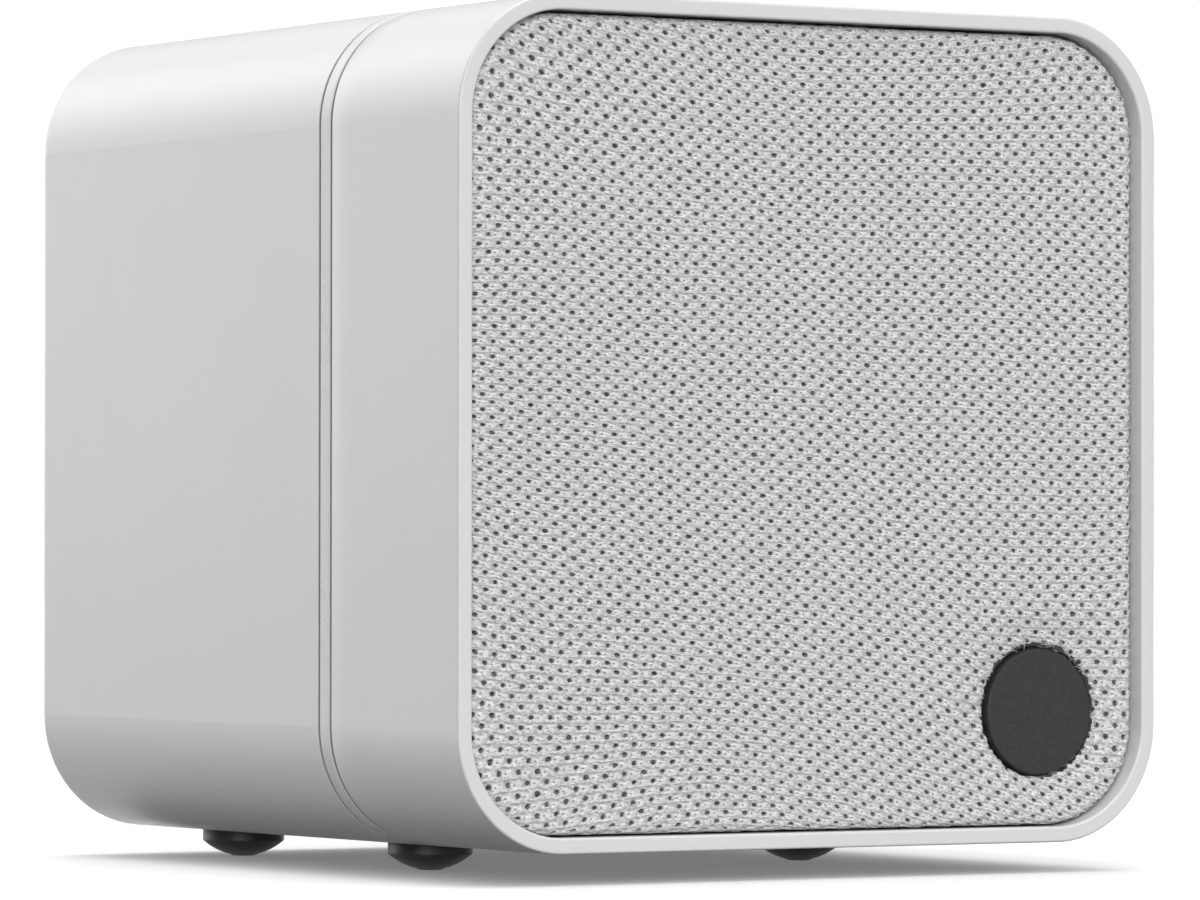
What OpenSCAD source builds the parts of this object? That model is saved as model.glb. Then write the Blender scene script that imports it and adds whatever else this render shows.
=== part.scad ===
/* [Cabinet] */
// Width of the cabinet, left to right
body_w = 78; // [76:0.5:84]
// Height of the cabinet without its feet
body_h = 79; // [78:0.5:86]
// Depth of the cabinet, front rim to back wall
body_d = 83.25; // [80:0.25:90]
// Outer radius of the four long edges
corner_r = 11.3; // [10.5:0.1:12.5]
// Wall thickness of the two shells
wall = 2.2; // [2.0:0.1:2.6]
// Thickness of the rear wall
rear_wall = 2.6; // [2.4:0.1:3.0]
// Rounding of the rear edge
rear_round = 1.5; // [1.0:0.25:2.5]

/* [Front rim and seam] */
// Width of the flat rim round the grille
rim_w = 1.5; // [1.2:0.1:1.8]
// Distance of the seam band's middle behind the front rim
seam_pos = 24.75; // [23:0.25:26]
// Width of the flush band between the two grooves
band_w = 1.7; // [1.4:0.1:2.0]
// Width of each groove
groove_w = 0.45; // [0.3:0.05:0.6]

/* [Grille] */
// Depth of the cloth face behind the rim
recess = 1.0; // [0.6:0.1:1.6]
// Thickness of the knitted cloth
cloth_t = 0.5; // [0.4:0.05:0.7]
// Gap between the cloth's edge and the rim's inner wall
grille_gap = 0.35; // [0.25:0.05:0.5]
// Thickness of the grille frame
frame_t = 2.8; // [2.4:0.1:3.0]
// Diameter of the round badge
badge_d = 12.2; // [10:0.1:13]
// Badge centre, to the right of the middle
badge_x = 26.1; // [24:0.1:27]
// Badge centre, above the cabinet's bottom
badge_z = 12.5; // [12:0.1:14]

/* [Feet] */
// Height of the feet below the cabinet
foot_h = 2.9; // [2.6:0.1:4]
// Diameter of a foot's collar
foot_d = 8.2; // [7:0.1:9]
// Half the distance between left and right feet
foot_x = 21.2; // [19:0.1:23]
// Front feet, distance behind the front rim
foot_front = 35.5; // [33:0.5:38]
// Rear feet, distance in front of the back wall
foot_rear = 10.45; // [9:0.05:12]

/* [Driver] */
// Outer radius of the driver's flange
flange_r = 33; // [32:0.1:33.4]
// Radius at the middle of the half roll surround
roll_r = 24; // [23.6:0.1:24.2]
// Radius of the voice coil former, inside
coil_r = 8; // [7.9:0.05:8.05]

/* [Rear fittings] */
// Wall radius of the threaded mounting insert
insert_r = 2.55; // [2.5:0.05:2.7]
// Insert centre, above the cabinet's bottom
insert_z = 56; // [54:0.5:60]
// Middle of the connection panel, above the cabinet's bottom
panel_z = 21.7; // [21:0.1:23]
// Bore radius of the power inlet
jack_r = 2.8; // [2.75:0.05:2.9]

/* [Hidden] */
$fn = 64;
e = 0.01;

// Planes along the depth: the front rim is at yf, the back wall at yb
yf = -body_d / 2;
yb = body_d / 2;
z0 = foot_h;
zc = foot_h + body_h / 2;
ztop = foot_h + body_h;

// Seam planes
band_y0 = yf + seam_pos - band_w / 2;
band_y1 = band_y0 + band_w;
sleeve_y1 = band_y0 - groove_w;
shell_y0 = band_y1 + groove_w;
tongue_in = 1.35;
rebate_y1 = shell_y0 + 1.95;

// Grille planes
cloth_y0 = yf + recess;
frame_y0 = cloth_y0 + cloth_t;
frame_y1 = frame_y0 + frame_t;

// Baffle planes
baffle_y0 = yf + 6.5;
baffle_t = 4;
baffle_y1 = baffle_y0 + baffle_t;
seal_t = 0.8;
ledge_y0 = baffle_y1 + seal_t;
ledge_t = 2.2;
boss_y0 = ledge_y0 + ledge_t;

// Corner screws and grille cups, from the middle of the front
scr_x = body_w / 2 - 8.4;
scr_z = body_h / 2 - 8.4;
cup_x = body_w / 2 - 6;
cup_z = 22;

// Driver planes
fl_y0 = baffle_y0 + 0.2;
fl_t = 1.2;
ds_r = flange_r - 2.2;
dg_t = 0.4;
gap_y0 = fl_y0 + 15.5;
gap_y1 = gap_y0 + 3;
mag_y1 = gap_y1 + 5;
yoke_y1 = mag_y1 + 3;

// Rear planes
in_y1 = yb - rear_wall;
board_y0 = yb - 14;
board_t = 1.6;
board_y1 = board_y0 + board_t;
panel_y1 = yb - 0.2;
panel_t = 1.8;
panel_y0 = panel_y1 - panel_t;
pz = foot_h + panel_z;
jack_x = -13;
btn_x = 0.5;
pipe_x = 7;
mute_x = 13;
iz = foot_h + insert_z;
board_bz = [foot_h + 9.2, foot_h + 38.2];
board_bx = 23;

white = [0.93, 0.93, 0.92];
black = [0.07, 0.07, 0.08];

// ---------- shared shapes ----------

// Rounded rectangle, exact arcs
module rsq(w, h, r) {
  square([w - 2 * r, h], center = true);
  square([w, h - 2 * r], center = true);
  for (sx = [-1, 1], sy = [-1, 1])
    translate([sx * (w / 2 - r), sy * (h / 2 - r)]) circle(r);
}

// Rounded rectangle prism along the depth, centred on the cabinet
module rp(w, h, r, y0, y1) {
  translate([0, y1, zc]) rotate([90, 0, 0]) linear_extrude(y1 - y0) rsq(w, h, r);
}

// The cabinet's outline moved inwards by i
module shell_p(i, y0, y1) {
  rp(body_w - 2 * i, body_h - 2 * i, corner_r - i, y0, y1);
}

// Ring between two offsets of the cabinet's outline
module shell_ring(i0, i1, y0, y1) {
  difference() {
    shell_p(i0, y0, y1);
    shell_p(i1, y0 - 1, y1 + 1);
  }
}

// Cylinder along the depth
module cy(x, z, r, y0, y1) {
  translate([x, y1, z]) rotate([90, 0, 0]) cylinder(r = r, h = y1 - y0);
}

// Cone along the depth, radius r0 at y0 and r1 at y1
module cyc(x, z, r0, r1, y0, y1) {
  translate([x, y0, z]) rotate([-90, 0, 0]) cylinder(r1 = r0, r2 = r1, h = y1 - y0);
}

// Box from two corners
module bx(x0, x1, y0, y1, za, zb) {
  translate([x0, y0, za]) cube([x1 - x0, y1 - y0, zb - za]);
}

// Solid of revolution about the driver's axis from [radius, y] points
module turn(pts) {
  translate([0, 0, zc]) rotate([90, 0, 0])
    rotate_extrude($fn = 96) polygon([for (p = pts) [p[0], -p[1]]]);
}

module four_corners(x, z) {
  for (sx = [-1, 1], sz = [-1, 1]) translate([sx * x, 0, zc + sz * z]) children();
}

// Round tube along a smooth curve through points, as one closed mesh
function cr(a, b, c, d, t) =
  0.5 * (2 * b + (c - a) * t + (2 * a - 5 * b + 4 * c - d) * t * t
  + (3 * b - a - 3 * c + d) * t * t * t);
function smooth(p, k) =
  let (n = len(p)) concat(
    [for (i = [0 : n - 2], j = [0 : k - 1])
      cr(p[max(i - 1, 0)], p[i], p[i + 1], p[min(i + 2, n - 1)], j / k)],
    [p[n - 1]]);
module tube(route, r, sides = 8, k = 5) {
  c = smooth(route, k);
  n = len(c);
  rings = [for (i = [0 : n - 1])
    let (t0 = c[min(i + 1, n - 1)] - c[max(i - 1, 0)], t = t0 / norm(t0),
         u0 = cross(t, [1, 0, 0]), u = u0 / norm(u0), v = cross(t, u))
      for (s = [0 : sides - 1])
        c[i] + r * (cos(360 * s / sides) * u + sin(360 * s / sides) * v)];
  polyhedron(points = rings, faces = concat(
    [[for (s = [0 : sides - 1]) s]],
    [[for (s = [sides - 1 : -1 : 0]) (n - 1) * sides + s]],
    [for (i = [0 : n - 2], s = [0 : sides - 1])
      [i * sides + s, (i + 1) * sides + s,
       (i + 1) * sides + (s + 1) % sides, i * sides + (s + 1) % sides]]));
}

// ---------- cabinet ----------

// Front section: rim, grille recess, baffle ledge and the tongue under the band
module cabinet_front_sleeve() {
  color(white) difference() {
    union() {
      shell_p(0, yf, sleeve_y1);
      shell_p(tongue_in, sleeve_y1 - 1, rebate_y1 - 0.5);
    }
    shell_p(rim_w, yf - 1, ledge_y0);
    difference() {
      shell_p(wall, ledge_y0 - 1, yb);
      difference() {
        shell_p(wall - 0.5, ledge_y0, boss_y0);
        rp(68, 69, 7, ledge_y0 - 1, boss_y0 + 1);
      }
      four_corners(scr_x, scr_z)
        translate([0, boss_y0, 0]) rotate([90, 0, 0]) cylinder(r = 4.75, h = ledge_t);
    }
    four_corners(scr_x, scr_z)
      translate([0, boss_y0 + 1, 0]) rotate([90, 0, 0]) cylinder(r = 1.7, h = ledge_t + 2);
  }
}

// Flush trim ring that shows between the two grooves
module seam_band() {
  color(white) shell_ring(0, tongue_in - 0.05, band_y0, band_y1);
}

// Rear section: five sided shell with bosses, seats and wall mount boss
module cabinet_rear_shell() {
  rr = rear_round;
  color(white) difference() {
    union() {
      difference() {
        union() {
          shell_p(0, shell_y0, yb - rr);
          shell_p(rr, yb - rr - 1, yb);
          for (s = [-1, 1]) {
            translate([-(body_w / 2 - corner_r), yb - rr, zc + s * (body_h / 2 - rr)])
              rotate([0, 90, 0]) cylinder(r = rr, h = body_w - 2 * corner_r);
            translate([s * (body_w / 2 - rr), yb - rr, zc - (body_h / 2 - corner_r)])
              cylinder(r = rr, h = body_h - 2 * corner_r);
          }
          for (sx = [-1, 1], sz = [-1, 1])
            translate([sx * (body_w / 2 - corner_r), yb - rr, zc + sz * (body_h / 2 - corner_r)])
              rotate([-90, 0, 0]) rotate_extrude($fn = 64) polygon(concat(
                [[0, -1], [corner_r - 0.01, -1]],
                [for (a = [0:15:90]) [corner_r - 0.01 - rr + rr * cos(a), rr * sin(a)]],
                [[0, rr]]));
        }
        shell_p(tongue_in - 0.05, shell_y0 - 1, rebate_y1);
        shell_p(wall, shell_y0 - 1, in_y1);
      }
      // corner posts that take the baffle screws, each with a web to the corner
      four_corners(scr_x, scr_z)
        translate([0, in_y1 + 0.5, 0]) rotate([90, 0, 0]) cylinder(r = 3.5, h = in_y1 + 0.5 - boss_y0);
      for (sx = [-1, 1], sz = [-1, 1])
        translate([sx * scr_x, rebate_y1, zc + sz * scr_z])
          rotate([0, -sz * (sx > 0 ? 45 : 135), 0])
            translate([0, 0, -0.8]) cube([6, in_y1 - rebate_y1 + 0.5, 1.6]);
      // frame round the connection panel's opening
      bx(-27, 27, in_y1 - 2, in_y1 + 0.5, pz - 12.6, pz + 12.6);
      // posts for the main board
      for (sx = [-1, 1], z = board_bz) cy(sx * board_bx, z, 2.75, board_y1, in_y1 + 0.5);
      // wall mount boss and its four ribs
      cy(0, iz, 7, in_y1 - 12.4, in_y1 + 0.5);
      bx(-16, 16, in_y1 - 6, in_y1 + 0.5, iz - 0.9, iz + 0.9);
      bx(-0.9, 0.9, in_y1 - 6, in_y1 + 0.5, iz - 12, iz + 12);
    }
    // seat and opening of the connection panel
    translate([0, yb + 1, pz]) rotate([90, 0, 0]) linear_extrude(1 + yb - panel_y0 + 0.3) rsq(50.3, 22.3, 3.15);
    bx(-19, 19, in_y1 - 3, yb, pz - 7.5, pz + 7.5);
    for (sx = [-1, 1]) cy(sx * 22, pz, 1.05, in_y1 - 3, yb);
    // pilot holes
    four_corners(scr_x, scr_z)
      translate([0, boss_y0 + 18, 0]) rotate([90, 0, 0]) cylinder(r = 1.3, h = 19);
    for (sx = [-1, 1], z = board_bz) cy(sx * board_bx, z, 1.05, board_y1 - 1, board_y1 + 9);
    // insert seat
    cy(0, iz, 4.05, yb - 12.5, yb + 1);
    // foot seats
    for (sx = [-1, 1], y = [yf + foot_front, yb - foot_rear])
      translate([sx * foot_x, y, z0 - 1]) cylinder(r = 2.1, h = wall + 2);
  }
}

// Seal that the tongue presses into the rear shell's step
module shell_gasket() {
  color(black) shell_ring(tongue_in, wall, rebate_y1 - 0.5, rebate_y1);
}

// Plate that carries the driver, the microphones and the grille's cups
module front_baffle() {
  color(black) difference() {
    shell_p(rim_w + 0.2, baffle_y0, baffle_y1);
    cy(0, zc, 28.3, baffle_y0 - 1, baffle_y1 + 1);
    cy(0, zc, flange_r + 0.3, baffle_y0 - 1, fl_y0 + fl_t + dg_t);
    four_corners(scr_x, scr_z) {
      translate([0, baffle_y1 + 1, 0]) rotate([90, 0, 0]) cylinder(r = 1.7, h = baffle_t + 2);
      translate([0, baffle_y0 + 2.2, 0]) rotate([90, 0, 0]) cylinder(r = 3.2, h = 3.2);
    }
    four_corners(cup_x, cup_z)
      translate([0, baffle_y1 + 1, 0]) rotate([90, 0, 0]) cylinder(r = 2.9, h = baffle_t + 2);
    for (a = [45 : 90 : 315])
      cy(ds_r * cos(a), zc + ds_r * sin(a), 1.25, baffle_y0, baffle_y1 + 1);
    for (sx = [-1, 1]) cy(sx * 17, zc + 31.6, 0.6, baffle_y0 - 1, baffle_y1 + 1);
  }
}

// Flat seal between the baffle and the sleeve's ledge
module baffle_gasket() {
  color([0.15, 0.15, 0.15]) difference() {
    shell_p(rim_w + 0.4, baffle_y1, ledge_y0);
    rp(68, 69, 7, baffle_y1 - 1, ledge_y0 + 1);
  }
}

// Self tapping screw along the depth, head in front
module screw(x, z, y, head_r, head_t, shank_r, len_) {
  cy(x, z, head_r, y - head_t, y);
  cy(x, z, shank_r, y - 0.2, y + len_);
}

// Screw with a cross shaped drive cut into its head
module cross_screw(x, z, y, head_r, head_t, shank_r, len_) {
  difference() {
    screw(x, z, y, head_r, head_t, shank_r, len_);
    bx(x - head_r * 0.6, x + head_r * 0.6, y - head_t - 1, y - head_t * 0.45, z - 0.3, z + 0.3);
    bx(x - 0.3, x + 0.3, y - head_t - 1, y - head_t * 0.45, z - head_r * 0.6, z + head_r * 0.6);
  }
}

// Four screws that clamp baffle, front sleeve and rear shell together
module baffle_screws() {
  color([0.2, 0.2, 0.22])
    for (sx = [-1, 1], sz = [-1, 1])
      cross_screw(sx * scr_x, zc + sz * scr_z, baffle_y0 + 2.2, 2.9, 1.9, 1.25, 16);
}

// Rubber cups that grip the grille's pegs
module grille_cups() {
  color(black) four_corners(cup_x, cup_z)
    translate([0, baffle_y1, 0]) rotate([90, 0, 0]) difference() {
      union() {
        cylinder(r = 2.85, h = baffle_t);
        translate([0, 0, baffle_t]) cylinder(r = 3.3, h = 0.4);
      }
      translate([0, 0, -1]) cylinder(r = 2.05, h = baffle_t + 3);
    }
}

// Push-in rubber foot: dome, collar, neck and barb
module foot(x, y) {
  color(black) translate([x, y, 0]) rotate_extrude($fn = 64) polygon([
    [0, 0], [1.2, 0], [1.7, 0.12], [2.5, 0.42], [3.2, 0.79], [3.7, 1.14],
    [foot_d / 2 - 0.08, 1.44], [foot_d / 2, 1.55], [foot_d / 2, foot_h],
    [2.05, foot_h], [2.05, foot_h + wall + 0.05], [2.6, foot_h + wall + 0.45],
    [2.5, foot_h + wall + 1.1], [1.2, foot_h + wall + 2.6], [0, foot_h + wall + 2.6]
  ]);
}
module foot_front_left() { foot(-foot_x, yf + foot_front); }
module foot_front_right() { foot(foot_x, yf + foot_front); }
module foot_rear_left() { foot(-foot_x, yb - foot_rear); }
module foot_rear_right() { foot(foot_x, yb - foot_rear); }

// ---------- grille ----------

gr_i = rim_w + grille_gap;

// Open frame with four pegs and a seat for the badge
module grille_frame() {
  color(black) difference() {
    union() {
      difference() {
        shell_p(gr_i + cloth_t, frame_y0, frame_y1);
        rp(64, 65, 6, frame_y0 - 1, frame_y1 + 1);
      }
      intersection() {
        shell_p(gr_i + cloth_t, frame_y0, frame_y1);
        cy(badge_x, z0 + badge_z, 8.2, frame_y0 - 1, frame_y1 + 1);
      }
      four_corners(cup_x, cup_z)
        translate([0, frame_y1 + 4.9, 0]) rotate([90, 0, 0]) {
          cylinder(r = 1.97, h = 5);
        }
    }
    cy(badge_x, z0 + badge_z, 6.35, frame_y0 - 1, frame_y0 + 0.9);
    cy(badge_x, z0 + badge_z, 1.6, frame_y0 - 1, frame_y1 + 1);
    // glue groove for the cloth's turned edge
    difference() {
      shell_p(gr_i + cloth_t - 1, frame_y1 - 0.45, frame_y1 + 1);
      rp(67.6, 68.6, 7.2, frame_y1 - 1, frame_y1 + 2);
      four_corners(cup_x, cup_z)
        translate([0, frame_y1 + 6, 0]) rotate([90, 0, 0]) cylinder(r = 2.6, h = 8);
    }
  }
}

// Knitted cloth: one skin over the front and round the frame's sides
module grille_cloth() {
  color([0.78, 0.78, 0.77]) difference() {
    shell_p(gr_i, cloth_y0, frame_y1);
    shell_p(gr_i + cloth_t, frame_y0, frame_y1 + 1);
    cy(badge_x, z0 + badge_z, 6.35, cloth_y0 - 1, frame_y0 + 1);
  }
}

// Plain round badge with a bevelled edge and a rear stem
module badge_disc() {
  br = badge_d / 2;
  color([0.2, 0.2, 0.21]) translate([badge_x, 0, z0 + badge_z]) rotate([90, 0, 0])
    rotate_extrude($fn = 96) polygon([for (p = [
      [0, cloth_y0 - 0.05], [br - 0.75, cloth_y0 - 0.05], [br - 0.3, cloth_y0 + 0.12], [br, cloth_y0 + 0.5],
      [br, frame_y0 + 0.9], [1.5, frame_y0 + 0.9], [1.5, frame_y1 + 0.95], [0, frame_y1 + 0.95]
    ]) [p[0], -p[1]]]);
}

// Push-on clip that holds the badge's stem
module badge_clip() {
  color([0.7, 0.7, 0.72]) difference() {
    cy(badge_x, z0 + badge_z, 3.4, frame_y1, frame_y1 + 0.5);
    cy(badge_x, z0 + badge_z, 1.52, frame_y1 - 1, frame_y1 + 1);
    for (a = [0 : 60 : 300])
      translate([badge_x, 0, z0 + badge_z]) rotate([0, a, 0])
        bx(1.4, 2.6, frame_y1 - 1, frame_y1 + 1, -0.25, 0.25);
  }
}

// ---------- driver ----------

// Cast frame: flange, windowed cone, spider ledge and motor seat
module driver_basket() {
  b = fl_y0;
  color([0.25, 0.25, 0.26]) difference() {
    turn([
      [26.9, b], [flange_r, b], [flange_r, b + fl_t], [27.9, b + fl_t],
      [20.1, b + 10.3], [18.7, b + 11.8], [18.7, b + 15.5], [9.7, b + 15.5],
      [9.7, b + 14.4], [17.5, b + 14.4], [17.5, b + 10.7], [18.9, b + 10.7],
      [18.9, b + 10.2], [26.7, b + 1.3]
    ]);
    for (a = [45 : 90 : 315]) {
      cy(ds_r * cos(a), zc + ds_r * sin(a), 1.6, b - 1, b + 3);
      translate([0, 0, zc]) rotate([0, a, 0]) bx(17, 32, b + 2.4, b + 9.4, -9, 9);
    }
  }
}

// Ring seal between flange and baffle
module driver_gasket() {
  color([0.12, 0.12, 0.12]) difference() {
    cy(0, zc, flange_r, fl_y0 + fl_t, fl_y0 + fl_t + dg_t);
    cy(0, zc, 28.4, fl_y0, fl_y0 + 3);
    for (a = [45 : 90 : 315]) cy(ds_r * cos(a), zc + ds_r * sin(a), 1.6, fl_y0, fl_y0 + 3);
  }
}

module driver_screws() {
  color([0.2, 0.2, 0.22])
    for (a = [45 : 90 : 315])
      cross_screw(ds_r * cos(a), zc + ds_r * sin(a), fl_y0, 2.1, 1.2, 1.2, 3.6);
}

// Rubber half roll, glued to the flange outside and the cone inside
module surround() {
  b = fl_y0;
  color([0.1, 0.1, 0.1]) turn(concat(
    [[28.4, b - 0.4], [28.4, b]],
    [[roll_r + 2.75, b]],
    [for (a = [0 : 15 : 180]) [roll_r + 2.1 * cos(a), b - 0.35 - 2.1 * sin(a)]],
    [[roll_r - 2.75, b], [roll_r - 4.6, b], [roll_r - 4.6, b - 0.4], [roll_r - 2.9, b - 0.4]],
    [for (a = [180 : -15 : 0]) [roll_r + 2.5 * cos(a), b - 0.4 - 2.5 * sin(a)]],
    [[roll_r + 2.9, b - 0.4]]
  ));
}

// Corrugated centring cloth
module spider() {
  b = fl_y0 + 10.4;
  w = 0.3;
  top = [for (i = [0 : 16]) let (r = 8.35 + i * (18.8 - 8.35) / 16)
    [r, b - 0.15 + 0.45 * ((i <= 1 || i >= 14) ? 0 : sin(i * 90 - 90))]];
  color([0.75, 0.6, 0.25]) turn(concat(
    [for (p = top) [p[0], p[1]]],
    [for (i = [16 : -1 : 0]) [top[i][0], top[i][1] + w]]));
}

// Steel cup that closes the magnetic circuit
module yoke_cup() {
  color([0.6, 0.6, 0.62]) turn([
    [9.2, gap_y0], [12.6, gap_y0], [12.6, yoke_y1 - 0.6], [12, yoke_y1], [0, yoke_y1],
    [0, mag_y1], [9.2, mag_y1]
  ]);
}

module magnet() { color([0.7, 0.7, 0.74]) turn([[0, gap_y1], [7.3, gap_y1], [7.3, mag_y1], [0, mag_y1]]); }

module pole_plate() { color([0.6, 0.6, 0.62]) turn([[0, gap_y0], [7.7, gap_y0], [7.7, gap_y1], [0, gap_y1]]); }

// Paper cone with its outer glue land and neck
module cone() {
  b = fl_y0;
  color([0.13, 0.13, 0.14]) turn([
    [21.1, b], [21.1, b + 0.4], [19.6, b + 0.4], [8.5, b + 7.8], [8.5, b + 8.3], [8.22, b + 8.3],
    [8.22, b + 7.2], [19.3, b]
  ]);
}

// Domed centre cap
module dust_cap() {
  b = fl_y0 + 5.2;
  rim = 10.4;
  rise = 2.6;
  big = (rim * rim + rise * rise) / (2 * rise);
  color([0.16, 0.16, 0.17]) turn(concat(
    [for (i = [0 : 8]) let (r = rim * i / 8) [r, b - (sqrt(big * big - r * r) - (big - rise))]],
    [for (i = [8 : -1 : 0]) let (r = rim * i / 8) [r, b + 0.35 - (sqrt(big * big - r * r) - (big - rise))]]
  ));
}

module voice_coil_former() {
  color([0.75, 0.6, 0.4]) turn([
    [coil_r, fl_y0 + 6.6], [coil_r + 0.2, fl_y0 + 6.6], [coil_r + 0.2, gap_y1 + 1.4], [coil_r, gap_y1 + 1.4]]);
}

module voice_coil_winding() {
  color([0.72, 0.4, 0.2]) turn([
    [coil_r + 0.2, gap_y0 - 1], [coil_r + 0.75, gap_y0 - 1], [coil_r + 0.75, gap_y1 + 1.2], [coil_r + 0.2, gap_y1 + 1.2]]);
}

// Insulating strip that carries the two solder tags
module terminal_strip() {
  color([0.55, 0.4, 0.2]) difference() {
    bx(-6, 6, gap_y0 - 3.6, gap_y0 + 5, zc - 20.6, zc - 18.75);
    for (sx = [-1, 1]) translate([sx * 3.2, gap_y0 + 3.6, zc - 22]) cylinder(r = 0.5, h = 5);
  }
}

module terminal_tags() {
  color([0.8, 0.7, 0.4]) for (sx = [-1, 1]) difference() {
    bx(sx * 3.2 - 1.2, sx * 3.2 + 1.2, gap_y0 - 1, gap_y0 + 8.5, zc - 21.1, zc - 20.6);
    translate([sx * 3.2, gap_y0 + 7, zc - 22]) cylinder(r = 0.6, h = 3);
  }
}

// ---------- microphones behind the cloth ----------

mic_y = baffle_y1 + 0.5;

module mic_gaskets() {
  color(black) for (sx = [-1, 1]) difference() {
    cy(sx * 17, zc + 31.6, 2.3, baffle_y1, mic_y);
    cy(sx * 17, zc + 31.6, 0.6, baffle_y1 - 1, mic_y + 1);
  }
}

module mic_board() {
  color([0.1, 0.3, 0.2]) difference() {
    bx(-21.5, 21.5, mic_y, mic_y + 1, zc + 29.2, zc + 34);
    for (sx = [-1, 1]) cy(sx * 17, zc + 31.6, 0.4, mic_y - 1, mic_y + 2);
  }
}

module microphones() {
  color([0.8, 0.75, 0.6]) for (sx = [-1, 1])
    bx(sx * 17 - 1.75, sx * 17 + 1.75, mic_y + 1, mic_y + 2, zc + 30.3, zc + 32.9);
}

// Flat flexible cable over the top of the driver to the main board
module mic_ribbon_cable() {
  y0 = mic_y + 1;
  za = zc + 31.6;
  zt = ztop - 6;
  yr = board_y0 - 1.4;
  t = 0.3;
  color([0.85, 0.85, 0.82]) translate([-3, 0, 0]) rotate([90, 0, 90]) linear_extrude(6) polygon([
    [y0, za - 1.8], [y0 + t, za - 1.8], [y0 + t, za], [y0 + 4 + t, zt - 0.6], [y0 + 7, zt - t], [yr - 6, zt - t],
    [yr - t - 0.6, zt - 5], [yr - t, zt - 12], [yr - t, board_bz[1] + 0.8],
    [yr, board_bz[1] + 0.8], [yr, zt - 12], [yr - 0.4, zt - 4.8], [yr - 6, zt], [y0 + 7, zt], [y0 + 4, zt - 0.5], [y0, za + 0.2]
  ]);
}

// ---------- electronics ----------

module main_board() {
  color([0.05, 0.25, 0.15]) difference() {
    bx(-26, 26, board_y0, board_y1, board_bz[0] - 3.4, board_bz[1] + 3.4);
    for (sx = [-1, 1], z = board_bz) cy(sx * board_bx, z, 1.5, board_y0 - 1, board_y1 + 1);
  }
}

module board_screws() {
  color([0.75, 0.75, 0.77])
    for (sx = [-1, 1], z = board_bz) cross_screw(sx * board_bx, z, board_y0, 2.2, 1.3, 1, 7.5);
}

// Processor, memory, amplifier and power chips on the board's front
module board_chips() {
  z1 = board_bz[0];
  color([0.08, 0.08, 0.09]) {
    bx(-6, 4, board_y0 - 1.1, board_y0, z1 + 17, z1 + 27);
    bx(-13.5, -7.5, board_y0 - 0.9, board_y0, z1 + 18, z1 + 26);
    bx(9, 15, board_y0 - 1, board_y0, z1 + 5, z1 + 11);
    bx(-20, -15.5, board_y0 - 1.1, board_y0, z1 + 17.5, z1 + 21.5);
  }
}

// Finned aluminium block on the amplifier chip
module heat_sink() {
  z1 = board_bz[0];
  color([0.7, 0.7, 0.72]) difference() {
    bx(6, 18, board_y0 - 9, board_y0 - 1, z1 + 2, z1 + 14);
    for (i = [0 : 3]) bx(8 + i * 2.6 - 0.75, 8 + i * 2.6 + 0.85, board_y0 - 10, board_y0 - 3, z1, z1 + 16);
  }
}

module radio_module() {
  z1 = board_bz[0];
  color([0.1, 0.3, 0.2]) bx(7, 20.5, board_y0 - 0.8, board_y0, z1 + 16, z1 + 31.5);
}

module radio_shield() {
  z1 = board_bz[0];
  color([0.8, 0.8, 0.82]) bx(8, 19.5, board_y0 - 2.8, board_y0 - 0.8, z1 + 17, z1 + 26.5);
}

// Electrolytic capacitors standing on the board
module bulk_capacitors() {
  z1 = board_bz[0];
  color([0.1, 0.1, 0.3]) for (p = [[-15, 3], [-15, 12.5], [-5, 5]]) {
    cy(p[0], z1 + p[1], 4, board_y0 - 11, board_y0 - 0.4);
    cy(p[0], z1 + p[1], 3.6, board_y0 - 0.5, board_y0);
  }
}

module output_inductors() {
  z1 = board_bz[0];
  color([0.25, 0.25, 0.27]) for (z = [4, 12]) bx(-0.6, 5, board_y0 - 3.2, board_y0, z1 + z - 3, z1 + z + 3);
}

// Wire to board headers for the driver and for the microphone ribbon
module board_connectors() {
  z1 = board_bz[0];
  color([0.9, 0.88, 0.8]) {
    difference() {
      bx(-23.5, -16.5, board_y0 - 6, board_y0, z1 + 22.4, z1 + 26.4);
      bx(-22.6, -17.4, board_y0 - 7, board_y0 - 2, z1 + 23.2, z1 + 25.6);
    }
    difference() {
      bx(-4.5, 4.5, board_y0 - 2.6, board_y0, board_bz[1] - 1.6, board_bz[1] + 2.2);
      bx(-3.3, 3.3, board_y0 - 1.9, board_y0 - 1.2, board_bz[1] - 0.4, board_bz[1] + 3);
    }
  }
}

// The two driver leads, tag to board header
module wire(sx, col) {
  z1 = board_bz[0];
  color(col) tube([
    [sx * 3.2, gap_y0 + 9, zc - 21.9], [sx * 3.2, gap_y0 + 12, zc - 22.4],
    [sx * 3.2 - 2, gap_y0 + 18, zc - 20], [sx * 2 - 12, gap_y0 + 26, zc - 12],
    [sx * 1.4 - 18, board_y0 - 14, z1 + 23.4], [sx * 1.25 - 20, board_y0 - 8, z1 + 24.4],
    [sx * 1.25 - 20, board_y0 - 2.2, z1 + 24.4]
  ], 0.7);
}
module speaker_wire_red() { wire(1, [0.7, 0.1, 0.1]); }
module speaker_wire_black() { wire(-1, black); }

// Barrel power socket behind the panel
module dc_jack() {
  color(black) difference() {
    union() {
      bx(jack_x - 4.5, jack_x + 4.5, board_y1, panel_y0 - 0.4, pz - 4.5, pz + 4.5);
      cy(jack_x, pz, 4, panel_y0 - 1, panel_y1 - 0.2);
    }
    cy(jack_x, pz, jack_r, panel_y1 - 9.7, panel_y1 + 1);
  }
}

module dc_jack_pin() {
  color([0.8, 0.8, 0.82]) {
    cy(jack_x, pz, 1, panel_y1 - 9.7, panel_y1 - 1.2);
  }
}

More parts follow.
